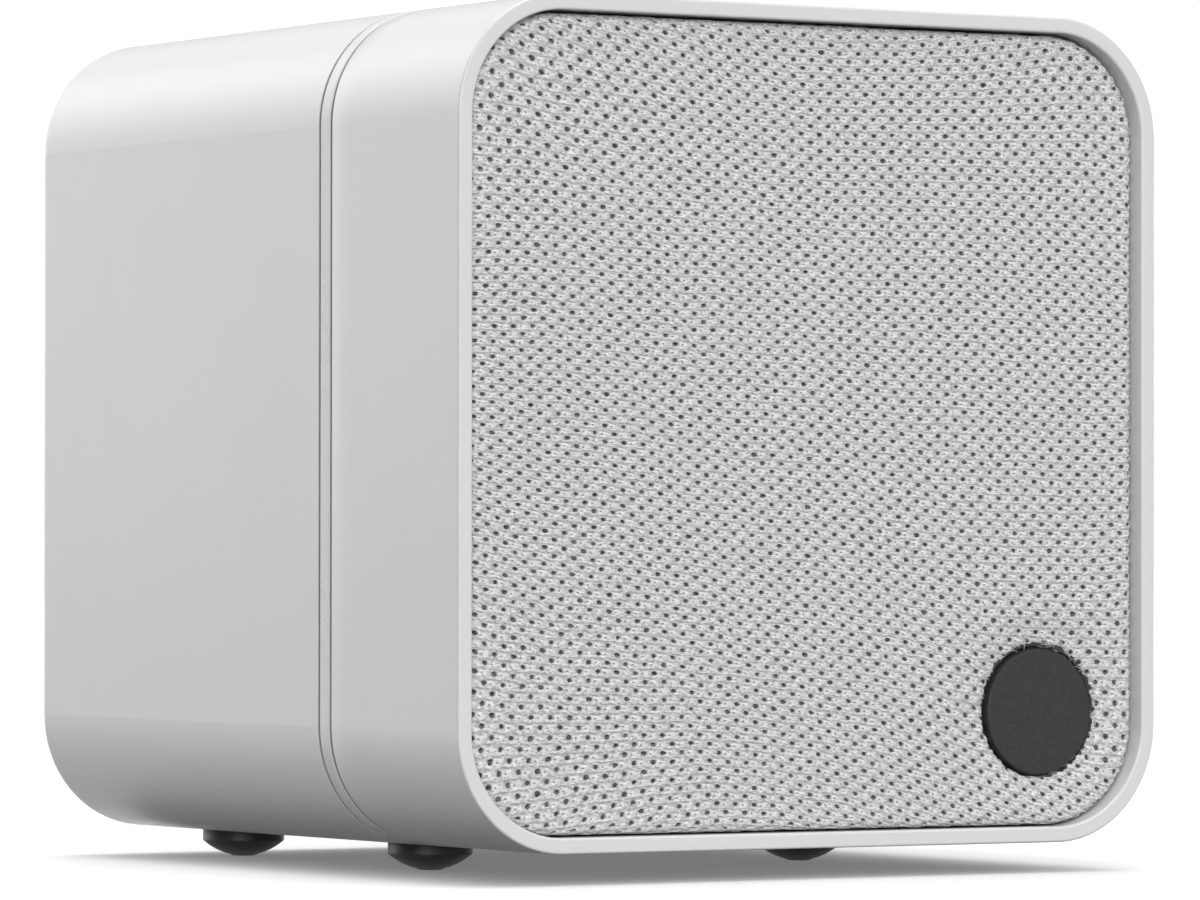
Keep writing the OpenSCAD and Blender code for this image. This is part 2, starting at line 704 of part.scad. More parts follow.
module tact_switch() {
  color([0.15, 0.15, 0.16]) difference() {
    bx(btn_x - 3, btn_x + 3, board_y1, board_y1 + 3.5, pz - 3, pz + 3);
    cy(btn_x, pz, 1.8, board_y1 + 1.6, board_y1 + 5);
  }
}

module tact_plunger() {
  color([0.3, 0.3, 0.3]) cy(btn_x, pz, 1.74, board_y1 + 2.2, board_y1 + 4.9);
}

// Pairing button: face, retaining collar and stem
module pair_button() {
  color([0.25, 0.25, 0.26]) {
    cy(btn_x, pz, 3, panel_y0 - 0.5, panel_y1 - 0.1);
    cy(btn_x, pz, 3.8, panel_y0 - 1.4, panel_y0 - 0.05);
    cy(btn_x, pz, 1.3, board_y1 + 4.9, panel_y0 - 1);
  }
}

// Slide switch body with the slot its lever runs in
module mute_switch() {
  color([0.7, 0.7, 0.72]) difference() {
    bx(mute_x - 4, mute_x + 6, board_y1, board_y1 + 5, pz - 2.6, pz + 2.6);
    bx(mute_x - 1.3, mute_x + 3.3, board_y1 + 2.6, board_y1 + 6, pz - 1.2, pz + 1.2);
  }
}

module mute_slider() {
  color([0.2, 0.2, 0.21]) difference() {
    union() {
      bx(mute_x - 1.1, mute_x + 1.1, board_y1 + 2.9, panel_y0 + 0.4, pz - 1.05, pz + 1.05);
      bx(mute_x - 1.2, mute_x + 1.2, panel_y0 + 0.3, panel_y1 - 0.2, pz - 1.1, pz + 1.1);
    }
    for (i = [-1, 0, 1]) bx(mute_x + i * 0.7 - 0.12, mute_x + i * 0.7 + 0.12, panel_y1 - 0.5, panel_y1 + 1, pz - 2, pz + 2);
  }
}

module status_led() {
  color([0.9, 0.9, 0.85]) bx(pipe_x - 0.8, pipe_x + 0.8, board_y1, board_y1 + 0.7, pz - 0.6, pz + 0.6);
}

module light_pipe() {
  color([0.9, 0.95, 1, 0.6]) {
    cy(pipe_x, pz, 1, board_y1 + 0.9, panel_y1 - 0.1);
    cy(pipe_x, pz, 1.5, panel_y0 - 0.8, panel_y0);
  }
}

// ---------- rear fittings ----------

// Black connection plate, set in flush with the rear wall
module rear_panel() {
  color(black) difference() {
    translate([0, panel_y1, pz]) rotate([90, 0, 0]) linear_extrude(panel_t) rsq(50, 22, 3);
    cy(jack_x, pz, 4.2, panel_y0 - 1, panel_y1 + 1);
    cy(btn_x, pz, 3.15, panel_y0 - 1, panel_y1 + 1);
    cy(pipe_x, pz, 1.05, panel_y0 - 1, panel_y1 + 1);
    bx(mute_x - 1.7, mute_x + 3.7, panel_y0 - 1, panel_y1 + 1, pz - 1.4, pz + 1.4);
    for (sx = [-1, 1]) {
      cy(sx * 22, pz, 1.3, panel_y0 - 1, panel_y1 + 1);
      cyc(sx * 22, pz, 1.2, 2.3, panel_y1 - 1.1, panel_y1 + 0.001);
    }
  }
}

module rear_panel_gasket() {
  color([0.12, 0.12, 0.12]) difference() {
    translate([0, panel_y0, pz]) rotate([90, 0, 0]) linear_extrude(0.3) rsq(50, 22, 3);
    bx(-19.5, 19.5, panel_y0 - 2, panel_y0 + 2, pz - 8, pz + 8);
    for (sx = [-1, 1]) cy(sx * 22, pz, 1.4, panel_y0 - 2, panel_y0 + 2);
  }
}

// Two countersunk screws
module rear_panel_screws() {
  color([0.2, 0.2, 0.22]) for (sx = [-1, 1]) difference() {
    union() {
      cyc(sx * 22, pz, 1.0, 2.2, panel_y1 - 1.1, panel_y1 - 0.05);
      cy(sx * 22, pz, 1.0, panel_y1 - 4.4, panel_y1 - 1);
    }
    bx(sx * 22 - 1.2, sx * 22 + 1.2, panel_y1 - 0.6, panel_y1 + 1, pz - 0.25, pz + 0.25);
    bx(sx * 22 - 0.25, sx * 22 + 0.25, panel_y1 - 0.6, panel_y1 + 1, pz - 1.2, pz + 1.2);
  }
}

// Brass insert that takes a wall bracket's screw
module wall_mount_insert() {
  color([0.8, 0.65, 0.3]) difference() {
    union() {
      cy(0, iz, 4, yb - 12, yb - 8);
      cy(0, iz, 3.7, yb - 8.5, yb - 6);
      cy(0, iz, 4, yb - 6.5, yb - 0.3);
    }
    cy(0, iz, insert_r, yb - 13, yb + 1);
  }
}

// Two acoustic foam pads against the side walls
module damping_foam() {
  color([0.35, 0.35, 0.36]) for (sx = [-1, 1])
    bx(sx > 0 ? 28.5 : -36.5, sx > 0 ? 36.5 : -28.5, yf + 30, yb - 16, z0 + 14.5, ztop - 14.5);
}

cabinet_front_sleeve();
seam_band();
cabinet_rear_shell();
shell_gasket();
front_baffle();
baffle_gasket();
baffle_screws();
grille_cups();
foot_front_left();
foot_front_right();
foot_rear_left();
foot_rear_right();
grille_frame();
grille_cloth();
badge_disc();
badge_clip();
driver_basket();
driver_gasket();
driver_screws();
surround();
spider();
yoke_cup();
magnet();
pole_plate();
cone();
dust_cap();
voice_coil_former();
voice_coil_winding();
terminal_strip();
terminal_tags();
mic_board();
microphones();
mic_gaskets();
mic_ribbon_cable();
main_board();
board_screws();
board_chips();
heat_sink();
radio_module();
radio_shield();
bulk_capacitors();
output_inductors();
board_connectors();
speaker_wire_red();
speaker_wire_black();
dc_jack();
dc_jack_pin();
tact_switch();
tact_plunger();
pair_button();
mute_switch();
mute_slider();
status_led();
light_pipe();
rear_panel();
rear_panel_gasket();
rear_panel_screws();
wall_mount_insert();
damping_foam();
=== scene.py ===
import math

import bpy
import numpy as np
from mathutils import Matrix, Vector


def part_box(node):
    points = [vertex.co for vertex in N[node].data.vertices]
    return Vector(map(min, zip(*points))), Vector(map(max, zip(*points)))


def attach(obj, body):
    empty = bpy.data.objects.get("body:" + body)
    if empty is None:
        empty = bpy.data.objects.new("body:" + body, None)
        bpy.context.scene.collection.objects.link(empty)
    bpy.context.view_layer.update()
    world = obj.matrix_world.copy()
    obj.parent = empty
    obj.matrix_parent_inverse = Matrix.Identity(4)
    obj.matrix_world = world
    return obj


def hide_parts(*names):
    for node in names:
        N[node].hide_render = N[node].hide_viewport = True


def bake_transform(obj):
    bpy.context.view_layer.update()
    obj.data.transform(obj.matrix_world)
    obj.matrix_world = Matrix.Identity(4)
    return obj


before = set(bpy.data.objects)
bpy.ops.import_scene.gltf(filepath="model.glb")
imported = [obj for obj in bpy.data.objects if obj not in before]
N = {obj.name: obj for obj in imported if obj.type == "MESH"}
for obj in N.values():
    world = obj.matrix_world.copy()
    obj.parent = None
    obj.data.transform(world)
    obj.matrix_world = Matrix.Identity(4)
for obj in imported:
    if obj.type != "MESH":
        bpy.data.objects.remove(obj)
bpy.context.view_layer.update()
SC = bpy.context.scene
SC.view_settings.view_transform = "Standard"
SC.view_settings.look = "None"
rng = np.random.default_rng(7)


def mm(v):
    return float(v) * 1000.0


# ---------------------------------------------------------------- positions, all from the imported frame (mm)
def nbox(n):
    lo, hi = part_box(n)
    return np.array(lo) * 1000, np.array(hi) * 1000


b_lo, b_hi = nbox("cabinet_front_sleeve")
HW, YF = (b_hi[0] - b_lo[0]) / 2, b_lo[1]
ZC, HH = (b_hi[2] + b_lo[2]) / 2, (b_hi[2] - b_lo[2]) / 2
r_lo, r_hi = nbox("cabinet_rear_shell")
YB = r_hi[1]
CR = 11.3            # corner radius of the cabinet
WALL = 2.2
RIM = 1.5
band_lo, band_hi = nbox("seam_band")
SEAM0, SEAM1 = band_lo[1] - 0.45, band_hi[1] + 0.45
TONGUE = 1.35
gas_lo, gas_hi = nbox("shell_gasket")
TONGUE_END = gas_lo[1]
bgas_lo, bgas_hi = nbox("baffle_gasket")
LEDGE0 = bgas_hi[1]
LEDGE1 = LEDGE0 + 2.2
cl_lo, cl_hi = nbox("grille_cloth")
fr_lo, fr_hi = nbox("grille_frame")
bd_lo, bd_hi = nbox("badge_disc")
BX, BZ = (bd_lo[0] + bd_hi[0]) / 2, (bd_lo[2] + bd_hi[2]) / 2
BR = (bd_hi[0] - bd_lo[0]) / 2


# ---------------------------------------------------------------- mesh helpers (mm in, metres out)
def add_mesh(name, verts, faces, sharp=None, smooth=True):
    me = bpy.data.meshes.new(name)
    me.from_pydata((np.asarray(verts, float) * 0.001).tolist(), [], [list(map(int, f)) for f in faces])
    me.validate(clean_customdata=False)
    me.update()
    if smooth:
        me.shade_smooth()
        if sharp is not None:
            me.set_sharp_from_angle(angle=math.radians(sharp))
    ob = bpy.data.objects.new(name, me)
    SC.collection.objects.link(ob)
    return ob


def outline(a, b, r, nc=30, support=0.2):
    """Rounded rectangle in X and Z, with points close to each arc's ends so that the flats shade flat."""
    pts = []
    for sx, sz, a0 in ((1, 1, 0), (-1, 1, 90), (-1, -1, 180), (1, -1, 270)):
        cx, cz = sx * (a - r), sz * (b - r)
        t0 = math.radians(a0)
        d0 = np.array([-math.sin(t0), math.cos(t0)])
        p0 = np.array([cx + r * math.cos(t0), cz + r * math.sin(t0)])
        pts.append(p0 - d0 * support)
        for k in range(nc + 1):
            t = math.radians(a0 + 90 * k / nc)
            pts.append(np.array([cx + r * math.cos(t), cz + r * math.sin(t)]))
        t1 = math.radians(a0 + 90)
        d1 = np.array([-math.sin(t1), math.cos(t1)])
        pts.append(pts[-1] + d1 * support)
    return np.array(pts)


def arc(c, r, a0, a1, n):
    return [(c[0] + r * math.cos(math.radians(a0 + (a1 - a0) * k / n)),
             c[1] + r * math.sin(math.radians(a0 + (a1 - a0) * k / n))) for k in range(n + 1)]


def loft(name, prof, nc=30, sharp=28, extra=()):
    """Ring swept round the cabinet's outline from a closed profile of (inset, y) or (inset, y, radius)."""
    rings = []
    for p in prof:
        i, y = p[0], p[1]
        r = p[2] if len(p) > 2 else CR - i
        o = outline(HW - i, HH - i, r, nc)
        rings.append(np.column_stack([o[:, 0], np.full(len(o), y), o[:, 1] + ZC]))
    m, n = len(rings), len(rings[0])
    verts = np.concatenate(rings)
    faces = []
    for a in range(m):
        b = (a + 1) % m
        for k in range(n):
            q = (k + 1) % n
            faces.append((a * n + k, b * n + k, b * n + q, a * n + q))
    verts, faces = list(map(tuple, verts)), faces
    for ev, ef in extra:
        base = len(verts)
        verts += list(map(tuple, ev))
        faces += [tuple(base + i for i in f) for f in ef]
    return add_mesh(name, verts, faces, sharp)


def turned(prof, seg, centre, axis="y", close=True):
    """Vertices and faces of a solid of revolution from (radius, along) points; radius 0 makes a pole."""
    verts, idx = [], []
    for r, t in prof:
        if r < 1e-6:
            idx.append([len(verts)])
            verts.append((0.0, 0.0, t))
        else:
            idx.append(list(range(len(verts), len(verts) + seg)))
            for k in range(seg):
                a = 2 * math.pi * k / seg
                verts.append((r * math.cos(a), r * math.sin(a), t))
    faces = []
    m = len(prof)
    for a in range(m if close else m - 1):
        p, q = idx[a], idx[(a + 1) % m]
        if len(p) == 1 and len(q) == 1:
            continue
        for k in range(seg):
            j = (k + 1) % seg
            if len(p) == 1:
                faces.append((p[0], q[j], q[k]))
            elif len(q) == 1:
                faces.append((p[k], p[j], q[0]))
            else:
                faces.append((p[k], p[j], q[j], q[k]))
    v = np.array(verts)
    cx, cz = centre[0], centre[-1]
    if axis == "y":
        out = np.column_stack([cx + v[:, 0], v[:, 2], cz + v[:, 1]])
    else:
        out = np.column_stack([cx + v[:, 0], centre[1] + v[:, 1], v[:, 2]])
    return out, faces


def lathe(name, prof, seg, centre, axis="y", close=True, sharp=30):
    v, f = turned(prof, seg, centre, axis, close)
    ob = add_mesh(name, v, f, sharp)
    fix_normals(ob)
    return ob


def fix_normals(ob):
    import bmesh
    bm = bmesh.new()
    bm.from_mesh(ob.data)
    bmesh.ops.recalc_face_normals(bm, faces=bm.faces)
    bm.to_mesh(ob.data)
    bm.free()
    ob.data.update()


def tube_mesh(path, rad, sides=14):
    """Vertices and faces of a capped round tube along points; rad is a number or one per point."""
    p = np.asarray(path, float)
    n = len(p)
    rad = np.full(n, rad, float) if np.isscalar(rad) else np.asarray(rad, float)
    t = np.gradient(p, axis=0)
    t /= np.linalg.norm(t, axis=1)[:, None]
    ref = np.array([1.0, 0, 0]) if abs(t[0][0]) < 0.8 else np.array([0, 1.0, 0])
    u = np.cross(t[0], ref)
    u /= np.linalg.norm(u)
    verts = []
    for i in range(n):
        u = u - t[i] * (u @ t[i])
        u /= np.linalg.norm(u)
        w = np.cross(t[i], u)
        for s in range(sides):
            a = 2 * math.pi * s / sides
            verts.append(p[i] + rad[i] * (math.cos(a) * u + math.sin(a) * w))
    faces = [tuple(range(sides - 1, -1, -1)), tuple((n - 1) * sides + s for s in range(sides))]
    for i in range(n - 1):
        for s in range(sides):
            q = (s + 1) % sides
            faces.append((i * sides + s, i * sides + q, (i + 1) * sides + q, (i + 1) * sides + s))
    return np.array(verts), faces


def smooth_path(p, k):
    p = np.asarray(p, float)
    n = len(p)
    out = []
    for i in range(n - 1):
        a, b, c, d = p[max(i - 1, 0)], p[i], p[i + 1], p[min(i + 2, n - 1)]
        for j in range(k):
            t = j / k
            out.append(0.5 * (2 * b + (c - a) * t + (2 * a - 5 * b + 4 * c - d) * t * t
                              + (3 * b - a - 3 * c + d) * t ** 3))
    out.append(p[-1])
    return np.array(out)


# ---------------------------------------------------------------- material helpers
class M:
    """Small builder for a procedural material on a Principled shader, in object coordinates (metres)."""

    def __init__(self, name, rough=0.5, metallic=0.0, **sockets):
        self.m = bpy.data.materials.new(name)
        self.m.use_nodes = True
        self.t = self.m.node_tree
        self.t.nodes.clear()
        self.out = self.t.nodes.new("ShaderNodeOutputMaterial")
        self.b = self.t.nodes.new("ShaderNodeBsdfPrincipled")
        self.t.links.new(self.b.outputs[0], self.out.inputs[0])
        self.b.inputs["Roughness"].default_value = rough
        self.b.inputs["Metallic"].default_value = metallic
        for k, v in sockets.items():
            self.b.inputs[k.replace("_", " ")].default_value = v
        self.tc = self.t.nodes.new("ShaderNodeTexCoord")

    def node(self, kind, **props):
        n = self.t.nodes.new(kind)
        for k, v in props.items():
            setattr(n, k, v)
        return n

    def put(self, sock, v):
        if hasattr(v, "is_linked") or isinstance(v, bpy.types.NodeSocket):
            self.t.links.new(v, sock)
        else:
            sock.default_value = v

    def mapped(self, scale=(1, 1, 1), rot=(0, 0, 0), src=None):
        n = self.node("ShaderNodeMapping")
        self.put(n.inputs["Vector"], src if src is not None else self.tc.outputs["Object"])
        n.inputs["Scale"].default_value = scale
        n.inputs["Rotation"].default_value = rot
        return n.outputs[0]

    def noise(self, scale, detail=3, rough=0.55, vec=None, dist=0.0):
        n = self.node("ShaderNodeTexNoise")
        self.put(n.inputs["Vector"], vec if vec is not None else self.tc.outputs["Object"])
        n.inputs["Scale"].default_value = scale
        n.inputs["Detail"].default_value = detail
        n.inputs["Roughness"].default_value = rough
        n.inputs["Distortion"].default_value = dist
        return n.outputs["Fac"]

    def voronoi(self, scale, feature="F1", vec=None, rand=1.0):
        n = self.node("ShaderNodeTexVoronoi", feature=feature)
        self.put(n.inputs["Vector"], vec if vec is not None else self.tc.outputs["Object"])
        n.inputs["Scale"].default_value = scale
        n.inputs["Randomness"].default_value = rand
        return n.outputs["Distance"]

    def rng(self, v, a0, a1, b0, b1, smooth=False):
        n = self.node("ShaderNodeMapRange", interpolation_type="SMOOTHSTEP" if smooth else "LINEAR")
        self.put(n.inputs["Value"], v)
        for i, x in zip(("From Min", "From Max", "To Min", "To Max"), (a0, a1, b0, b1)):
            n.inputs[i].default_value = x
        return n.outputs["Result"]

    def math(self, op, a, b=0.0, clamp=False):
        n = self.node("ShaderNodeMath", operation=op, use_clamp=clamp)
        self.put(n.inputs[0], a)
        self.put(n.inputs[1], b)
        return n.outputs[0]

    def mix(self, fac, a, b):
        n = self.node("ShaderNodeMix", data_type="RGBA")
        self.put(n.inputs["Factor"], fac)
        for s, v in ((n.inputs[6], a), (n.inputs[7], b)):
            self.put(s, (*v, 1.0) if isinstance(v, tuple) and len(v) == 3 else v)
        return n.outputs[2]

    def bump(self, h, dist, strength=1.0, normal=None):
        n = self.node("ShaderNodeBump")
        self.put(n.inputs["Height"], h)
        n.inputs["Distance"].default_value = dist
        n.inputs["Strength"].default_value = strength
        if normal is not None:
            self.put(n.inputs["Normal"], normal)
        return n.outputs[0]

    def edge(self, lo=0.53, hi=0.62):
        """1 on worn convex edges."""
        g = self.node("ShaderNodeNewGeometry")
        return self.rng(g.outputs["Pointiness"], lo, hi, 0, 1)

    def done(self, color=None, rough=None, normal=None):
        if color is not None:
            self.put(self.b.inputs["Base Color"], color if not isinstance(color, tuple) else (*color[:3], 1.0))
        if rough is not None:
            self.put(self.b.inputs["Roughness"], rough)
        if normal is not None:
            self.put(self.b.inputs["Normal"], normal)
        return self.m


def g(v):
    return (v, v, v)


def plastic(name, col, col2=None, rough=(0.35, 0.5), grain=1500, depth=0.00002, cloud=60, wear=None, **kw):
    """Moulded plastic: slow colour and gloss drift, fine texture, a few rubbed edges."""
    k = M(name, **kw)
    c2 = col2 or tuple(min(1, c * 1.25 + 0.01) for c in col)
    big = k.noise(cloud, 4)
    fine = k.noise(grain, 2)
    c = k.mix(k.rng(big, 0.3, 0.7, 0, 1), col, c2)
    if wear:
        c = k.mix(k.math("MULTIPLY", k.edge(), k.rng(k.noise(400, 3), 0.4, 0.65, 0, 1)), c, wear)
    r = k.rng(k.math("ADD", k.math("MULTIPLY", big, 0.6), k.math("MULTIPLY", fine, 0.4)), 0.3, 0.7, *rough)
    return k.done(c, r, k.bump(fine, depth))


def rubber(name, col, rough=(0.55, 0.75), **kw):
    k = M(name, **kw)
    big, fine = k.noise(120, 4), k.noise(3500, 3)
    dust = k.rng(k.noise(300, 5, 0.7), 0.5, 0.8, 0, 0.5)
    c = k.mix(dust, k.mix(k.rng(big, 0.3, 0.7, 0, 1), col, tuple(x * 1.4 for x in col)), tuple(x * 2.2 + 0.01 for x in col))
    return k.done(c, k.rng(big, 0.3, 0.7, *rough), k.bump(fine, 0.000015))


def metal(name, col, rough=(0.22, 0.4), brush=(1, 1, 1), scale=900, depth=0.000004, tarnish=0.15):
    k = M(name, metallic=1.0)
    v = k.mapped(brush)
    fine, big = k.noise(scale, 4, 0.6, v), k.noise(90, 5)
    dark = tuple(c * (1 - tarnish * 2) for c in col)
    c = k.mix(k.rng(big, 0.35, 0.75, 0, 1), col, dark)
    c = k.mix(k.rng(fine, 0.45, 0.6, 0, 0.35), c, tuple(min(1, x * 1.15) for x in col))
    return k.done(c, k.rng(k.math("ADD", k.math("MULTIPLY", fine, 0.5), k.math("MULTIPLY", big, 0.5)), 0.35, 0.65, *rough),
                  k.bump(fine, depth))


MAT = {}


def gloss_white(name, base=0.80, rough=(0.20, 0.27), peel=0.0000012):
    k = M(name, Coat_Weight=0.0, IOR=1.5)
    big, mid = k.noise(28, 3), k.noise(220, 4, 0.6)
    peel_n = k.noise(900, 2, 0.4)
    fine = k.noise(5200, 2, 0.5)
    speck = k.rng(k.voronoi(420), 0.0, 0.035, 1, 0)
    c = k.mix(k.rng(big, 0.3, 0.7, 0, 1), g(base), g(base * 0.985))
    c = k.mix(k.math("MULTIPLY", k.rng(mid, 0.55, 0.8, 0, 1), 0.03), c, g(base * 0.8))
    c = k.mix(k.math("MULTIPLY", speck, 0.04), c, g(base * 0.75))
    r = k.rng(k.math("ADD", k.math("MULTIPLY", big, 0.5), k.math("MULTIPLY", mid, 0.5)), 0.3, 0.7, *rough)
    n = k.bump(fine, 0.0000008, 0.6, k.bump(peel_n, peel))
    return k.done(c, r, n)


MAT["gloss_white"] = gloss_white("gloss_white")
MAT["trim_white"] = gloss_white("trim_white", base=0.79, rough=(0.24, 0.3))
# dark grey for the groove rings: painted shade in the seam grooves
MAT["groove_painted_shade"] = gloss_white("groove_painted_shade", base=0.30, rough=(0.5, 0.6))
MAT["baffle_black"] = plastic("baffle_black", g(0.018), g(0.028), rough=(0.5, 0.65), grain=2600, depth=0.00004, wear=g(0.06))
MAT["frame_black"] = plastic("frame_black", g(0.016), g(0.024), rough=(0.45, 0.6), grain=2000, depth=0.00003, wear=g(0.05))
MAT["rubber_black"] = rubber("rubber_black", g(0.012))
MAT["foot_rubber"] = rubber("foot_rubber", g(0.012), rough=(0.30, 0.42))
MAT["seal_black"] = rubber("seal_black", g(0.014), rough=(0.75, 0.9))
MAT["screw_black"] = metal("screw_black", g(0.05), rough=(0.35, 0.5), tarnish=0.2)
MAT["screw_steel"] = metal("screw_steel", g(0.62), rough=(0.22, 0.38))
MAT["basket_black"] = plastic("basket_black", g(0.02), g(0.035), rough=(0.38, 0.52), grain=4000, depth=0.00003, wear=g(0.1))
MAT["steel_zinc"] = metal("steel_zinc", g(0.58), rough=(0.3, 0.45), tarnish=0.12)
MAT["magnet_nickel"] = metal("magnet_nickel", (0.62, 0.6, 0.57), rough=(0.12, 0.22), depth=0.000001)
MAT["former_kraft"] = plastic("former_kraft", (0.42, 0.27, 0.14), (0.5, 0.34, 0.19), rough=(0.6, 0.75), grain=2400, depth=0.00001)
MAT["strip_board"] = plastic("strip_board", (0.2, 0.11, 0.05), (0.26, 0.15, 0.07), rough=(0.5, 0.65), grain=1800)
MAT["tag_brass"] = metal("tag_brass", (0.72, 0.6, 0.36), rough=(0.25, 0.4))
MAT["mic_can"] = metal("mic_can", (0.7, 0.62, 0.48), rough=(0.2, 0.32))
MAT["chip_black"] = plastic("chip_black", g(0.017), g(0.022), rough=(0.45, 0.6), grain=5200, depth=0.000012)
MAT["heatsink_alu"] = metal("heatsink_alu", g(0.72), rough=(0.3, 0.45), brush=(1, 0.05, 1))
MAT["shield_tin"] = metal("shield_tin", g(0.74), rough=(0.2, 0.34), tarnish=0.08)
MAT["inductor_grey"] = plastic("inductor_grey", g(0.06), g(0.09), rough=(0.6, 0.75), grain=3800, depth=0.00003)
MAT["connector_nylon"] = plastic("connector_nylon", (0.72, 0.68, 0.58), (0.78, 0.75, 0.66), rough=(0.4, 0.5), grain=2800, Subsurface_Weight=0.1)
MAT["wire_red"] = plastic("wire_red", (0.42, 0.02, 0.015), (0.5, 0.03, 0.02), rough=(0.3, 0.42), grain=2500, depth=0.000008)
MAT["wire_black"] = plastic("wire_black", g(0.015), g(0.02), rough=(0.3, 0.42), grain=2500, depth=0.000008)
MAT["jack_black"] = plastic("jack_black", g(0.014), g(0.02), rough=(0.35, 0.5), grain=2500)
MAT["jack_pin"] = metal("jack_pin", g(0.75), rough=(0.15, 0.25))
MAT["switch_black"] = plastic("switch_black", g(0.016), g(0.022), rough=(0.4, 0.55), grain=3200)
MAT["switch_steel"] = metal("switch_steel", g(0.66), rough=(0.25, 0.38))
MAT["button_grey"] = plastic("button_grey", g(0.035), g(0.05), rough=(0.4, 0.55), grain=3600, depth=0.00002, wear=g(0.12))
MAT["led_white"] = plastic("led_white", (0.72, 0.66, 0.45), (0.8, 0.76, 0.6), rough=(0.3, 0.4), grain=3000)
MAT["panel_black"] = plastic("panel_black", g(0.016), g(0.024), rough=(0.48, 0.62), grain=2200, depth=0.00005, wear=g(0.06))
MAT["insert_brass"] = metal("insert_brass", (0.68, 0.5, 0.24), rough=(0.22, 0.36))
MAT["surround_rubber"] = rubber("surround_rubber", g(0.016), rough=(0.42, 0.58))


def light_pipe_mat():
    k = M("light_pipe", rough=0.18, IOR=1.49, Transmission_Weight=0.85)
    haze = k.noise(500, 4)
    return k.done(k.mix(k.rng(haze, 0.4, 0.7, 0, 1), g(0.86), g(0.7)), k.rng(haze, 0.3, 0.7, 0.1, 0.25), k.bump(haze, 0.00001))


MAT["light_pipe"] = light_pipe_mat()


def board_mat(name, mask, trace):
    """Solder mask over copper: straight tracks, vias and a slight sheen."""
    k = M(name, rough=0.35, Coat_Weight=0.3, Coat_Roughness=0.2)
    v = k.mapped((1, 1, 1), (0, 0, 0))
    brick = k.node("ShaderNodeTexBrick", offset=0.37, offset_frequency=3, squash=1.0)
    sw = k.node("ShaderNodeSeparateXYZ")
    k.put(sw.inputs[0], v)
    cb = k.node("ShaderNodeCombineXYZ")
    k.put(cb.inputs[0], sw.outputs[0])
    k.put(cb.inputs[1], sw.outputs[2])
    k.put(brick.inputs["Vector"], cb.outputs[0])
    brick.inputs["Scale"].default_value = 1.0
    brick.inputs["Mortar Size"].default_value = 0.00012
    brick.inputs["Brick Width"].default_value = 0.0031
    brick.inputs["Row Height"].default_value = 0.0011
    track = k.rng(brick.outputs["Fac"], 0, 1, 0, 1)
    patch = k.rng(k.noise(160, 2), 0.47, 0.53, 0, 1)
    tr = k.math("MULTIPLY", track, patch)
    via = k.math("MULTIPLY", k.rng(k.voronoi(330, vec=cb.outputs[0]), 0.06, 0.085, 1, 0), patch)
    c = k.mix(k.rng(k.noise(90, 3), 0.3, 0.7, 0, 1), mask, tuple(x * 1.3 for x in mask))
    c = k.mix(k.math("MULTIPLY", tr, 0.7), c, trace)
    c = k.mix(via, c, (0.6, 0.5, 0.3))
    h = k.math("ADD", tr, via)
    return k.done(c, k.rng(k.noise(2200, 2), 0.3, 0.7, 0.28, 0.42), k.bump(h, 0.00002))


MAT["board_green"] = board_mat("board_green", (0.012, 0.075, 0.035), (0.03, 0.16, 0.07))


def ribbon_mat():
    k = M("ribbon", rough=0.35, Coat_Weight=0.4, Coat_Roughness=0.15)
    s = k.node("ShaderNodeSeparateXYZ")
    k.put(s.inputs[0], k.tc.outputs["Object"])
    w = k.math("SINE", k.math("MULTIPLY", s.outputs[0], 2 * math.pi / 0.0010))
    line = k.rng(w, 0.0, 0.3, 0, 1)
    haze = k.noise(700, 4)
    c = k.mix(k.math("MULTIPLY", line, 0.8), (0.66, 0.55, 0.36), (0.55, 0.38, 0.2))
    c = k.mix(k.rng(haze, 0.5, 0.8, 0, 0.25), c, g(0.75))
    return k.done(c, k.rng(haze, 0.3, 0.7, 0.3, 0.45), k.bump(line, 0.00003))


MAT["ribbon"] = ribbon_mat()


def copper_mat():
    k = M("copper", metallic=1.0, rough=0.3)
    s = k.node("ShaderNodeSeparateXYZ")
    k.put(s.inputs[0], k.tc.outputs["Object"])
    w = k.math("SINE", k.math("MULTIPLY", s.outputs[1], 2 * math.pi / 0.00018))
    c = k.mix(k.rng(k.noise(600, 4), 0.3, 0.7, 0, 1), (0.62, 0.25, 0.11), (0.72, 0.34, 0.17))
    return k.done(c, k.rng(w, -1, 1, 0.4, 0.24), k.bump(w, 0.00006))


MAT["copper"] = copper_mat()


def sleeve_mat():
    """Shrink sleeve of the capacitors, with a plain light stripe."""
    k = M("cap_sleeve", rough=0.3, Coat_Weight=0.3, Coat_Roughness=0.2)
    s = k.node("ShaderNodeSeparateXYZ")
    k.put(s.inputs[0], k.tc.outputs["Object"])
    st = k.math("MULTIPLY", k.rng(s.outputs[0], -0.0185, -0.0182, 1, 0), 1.0)
    n1 = k.noise(250, 4)
    c = k.mix(k.rng(n1, 0.3, 0.7, 0, 1), (0.012, 0.013, 0.02), (0.02, 0.022, 0.034))
    c = k.mix(st, c, g(0.45))
    return k.done(c, k.rng(n1, 0.3, 0.7, 0.25, 0.4), k.bump(k.noise(1500, 2), 0.00001))


MAT["cap_sleeve"] = sleeve_mat()


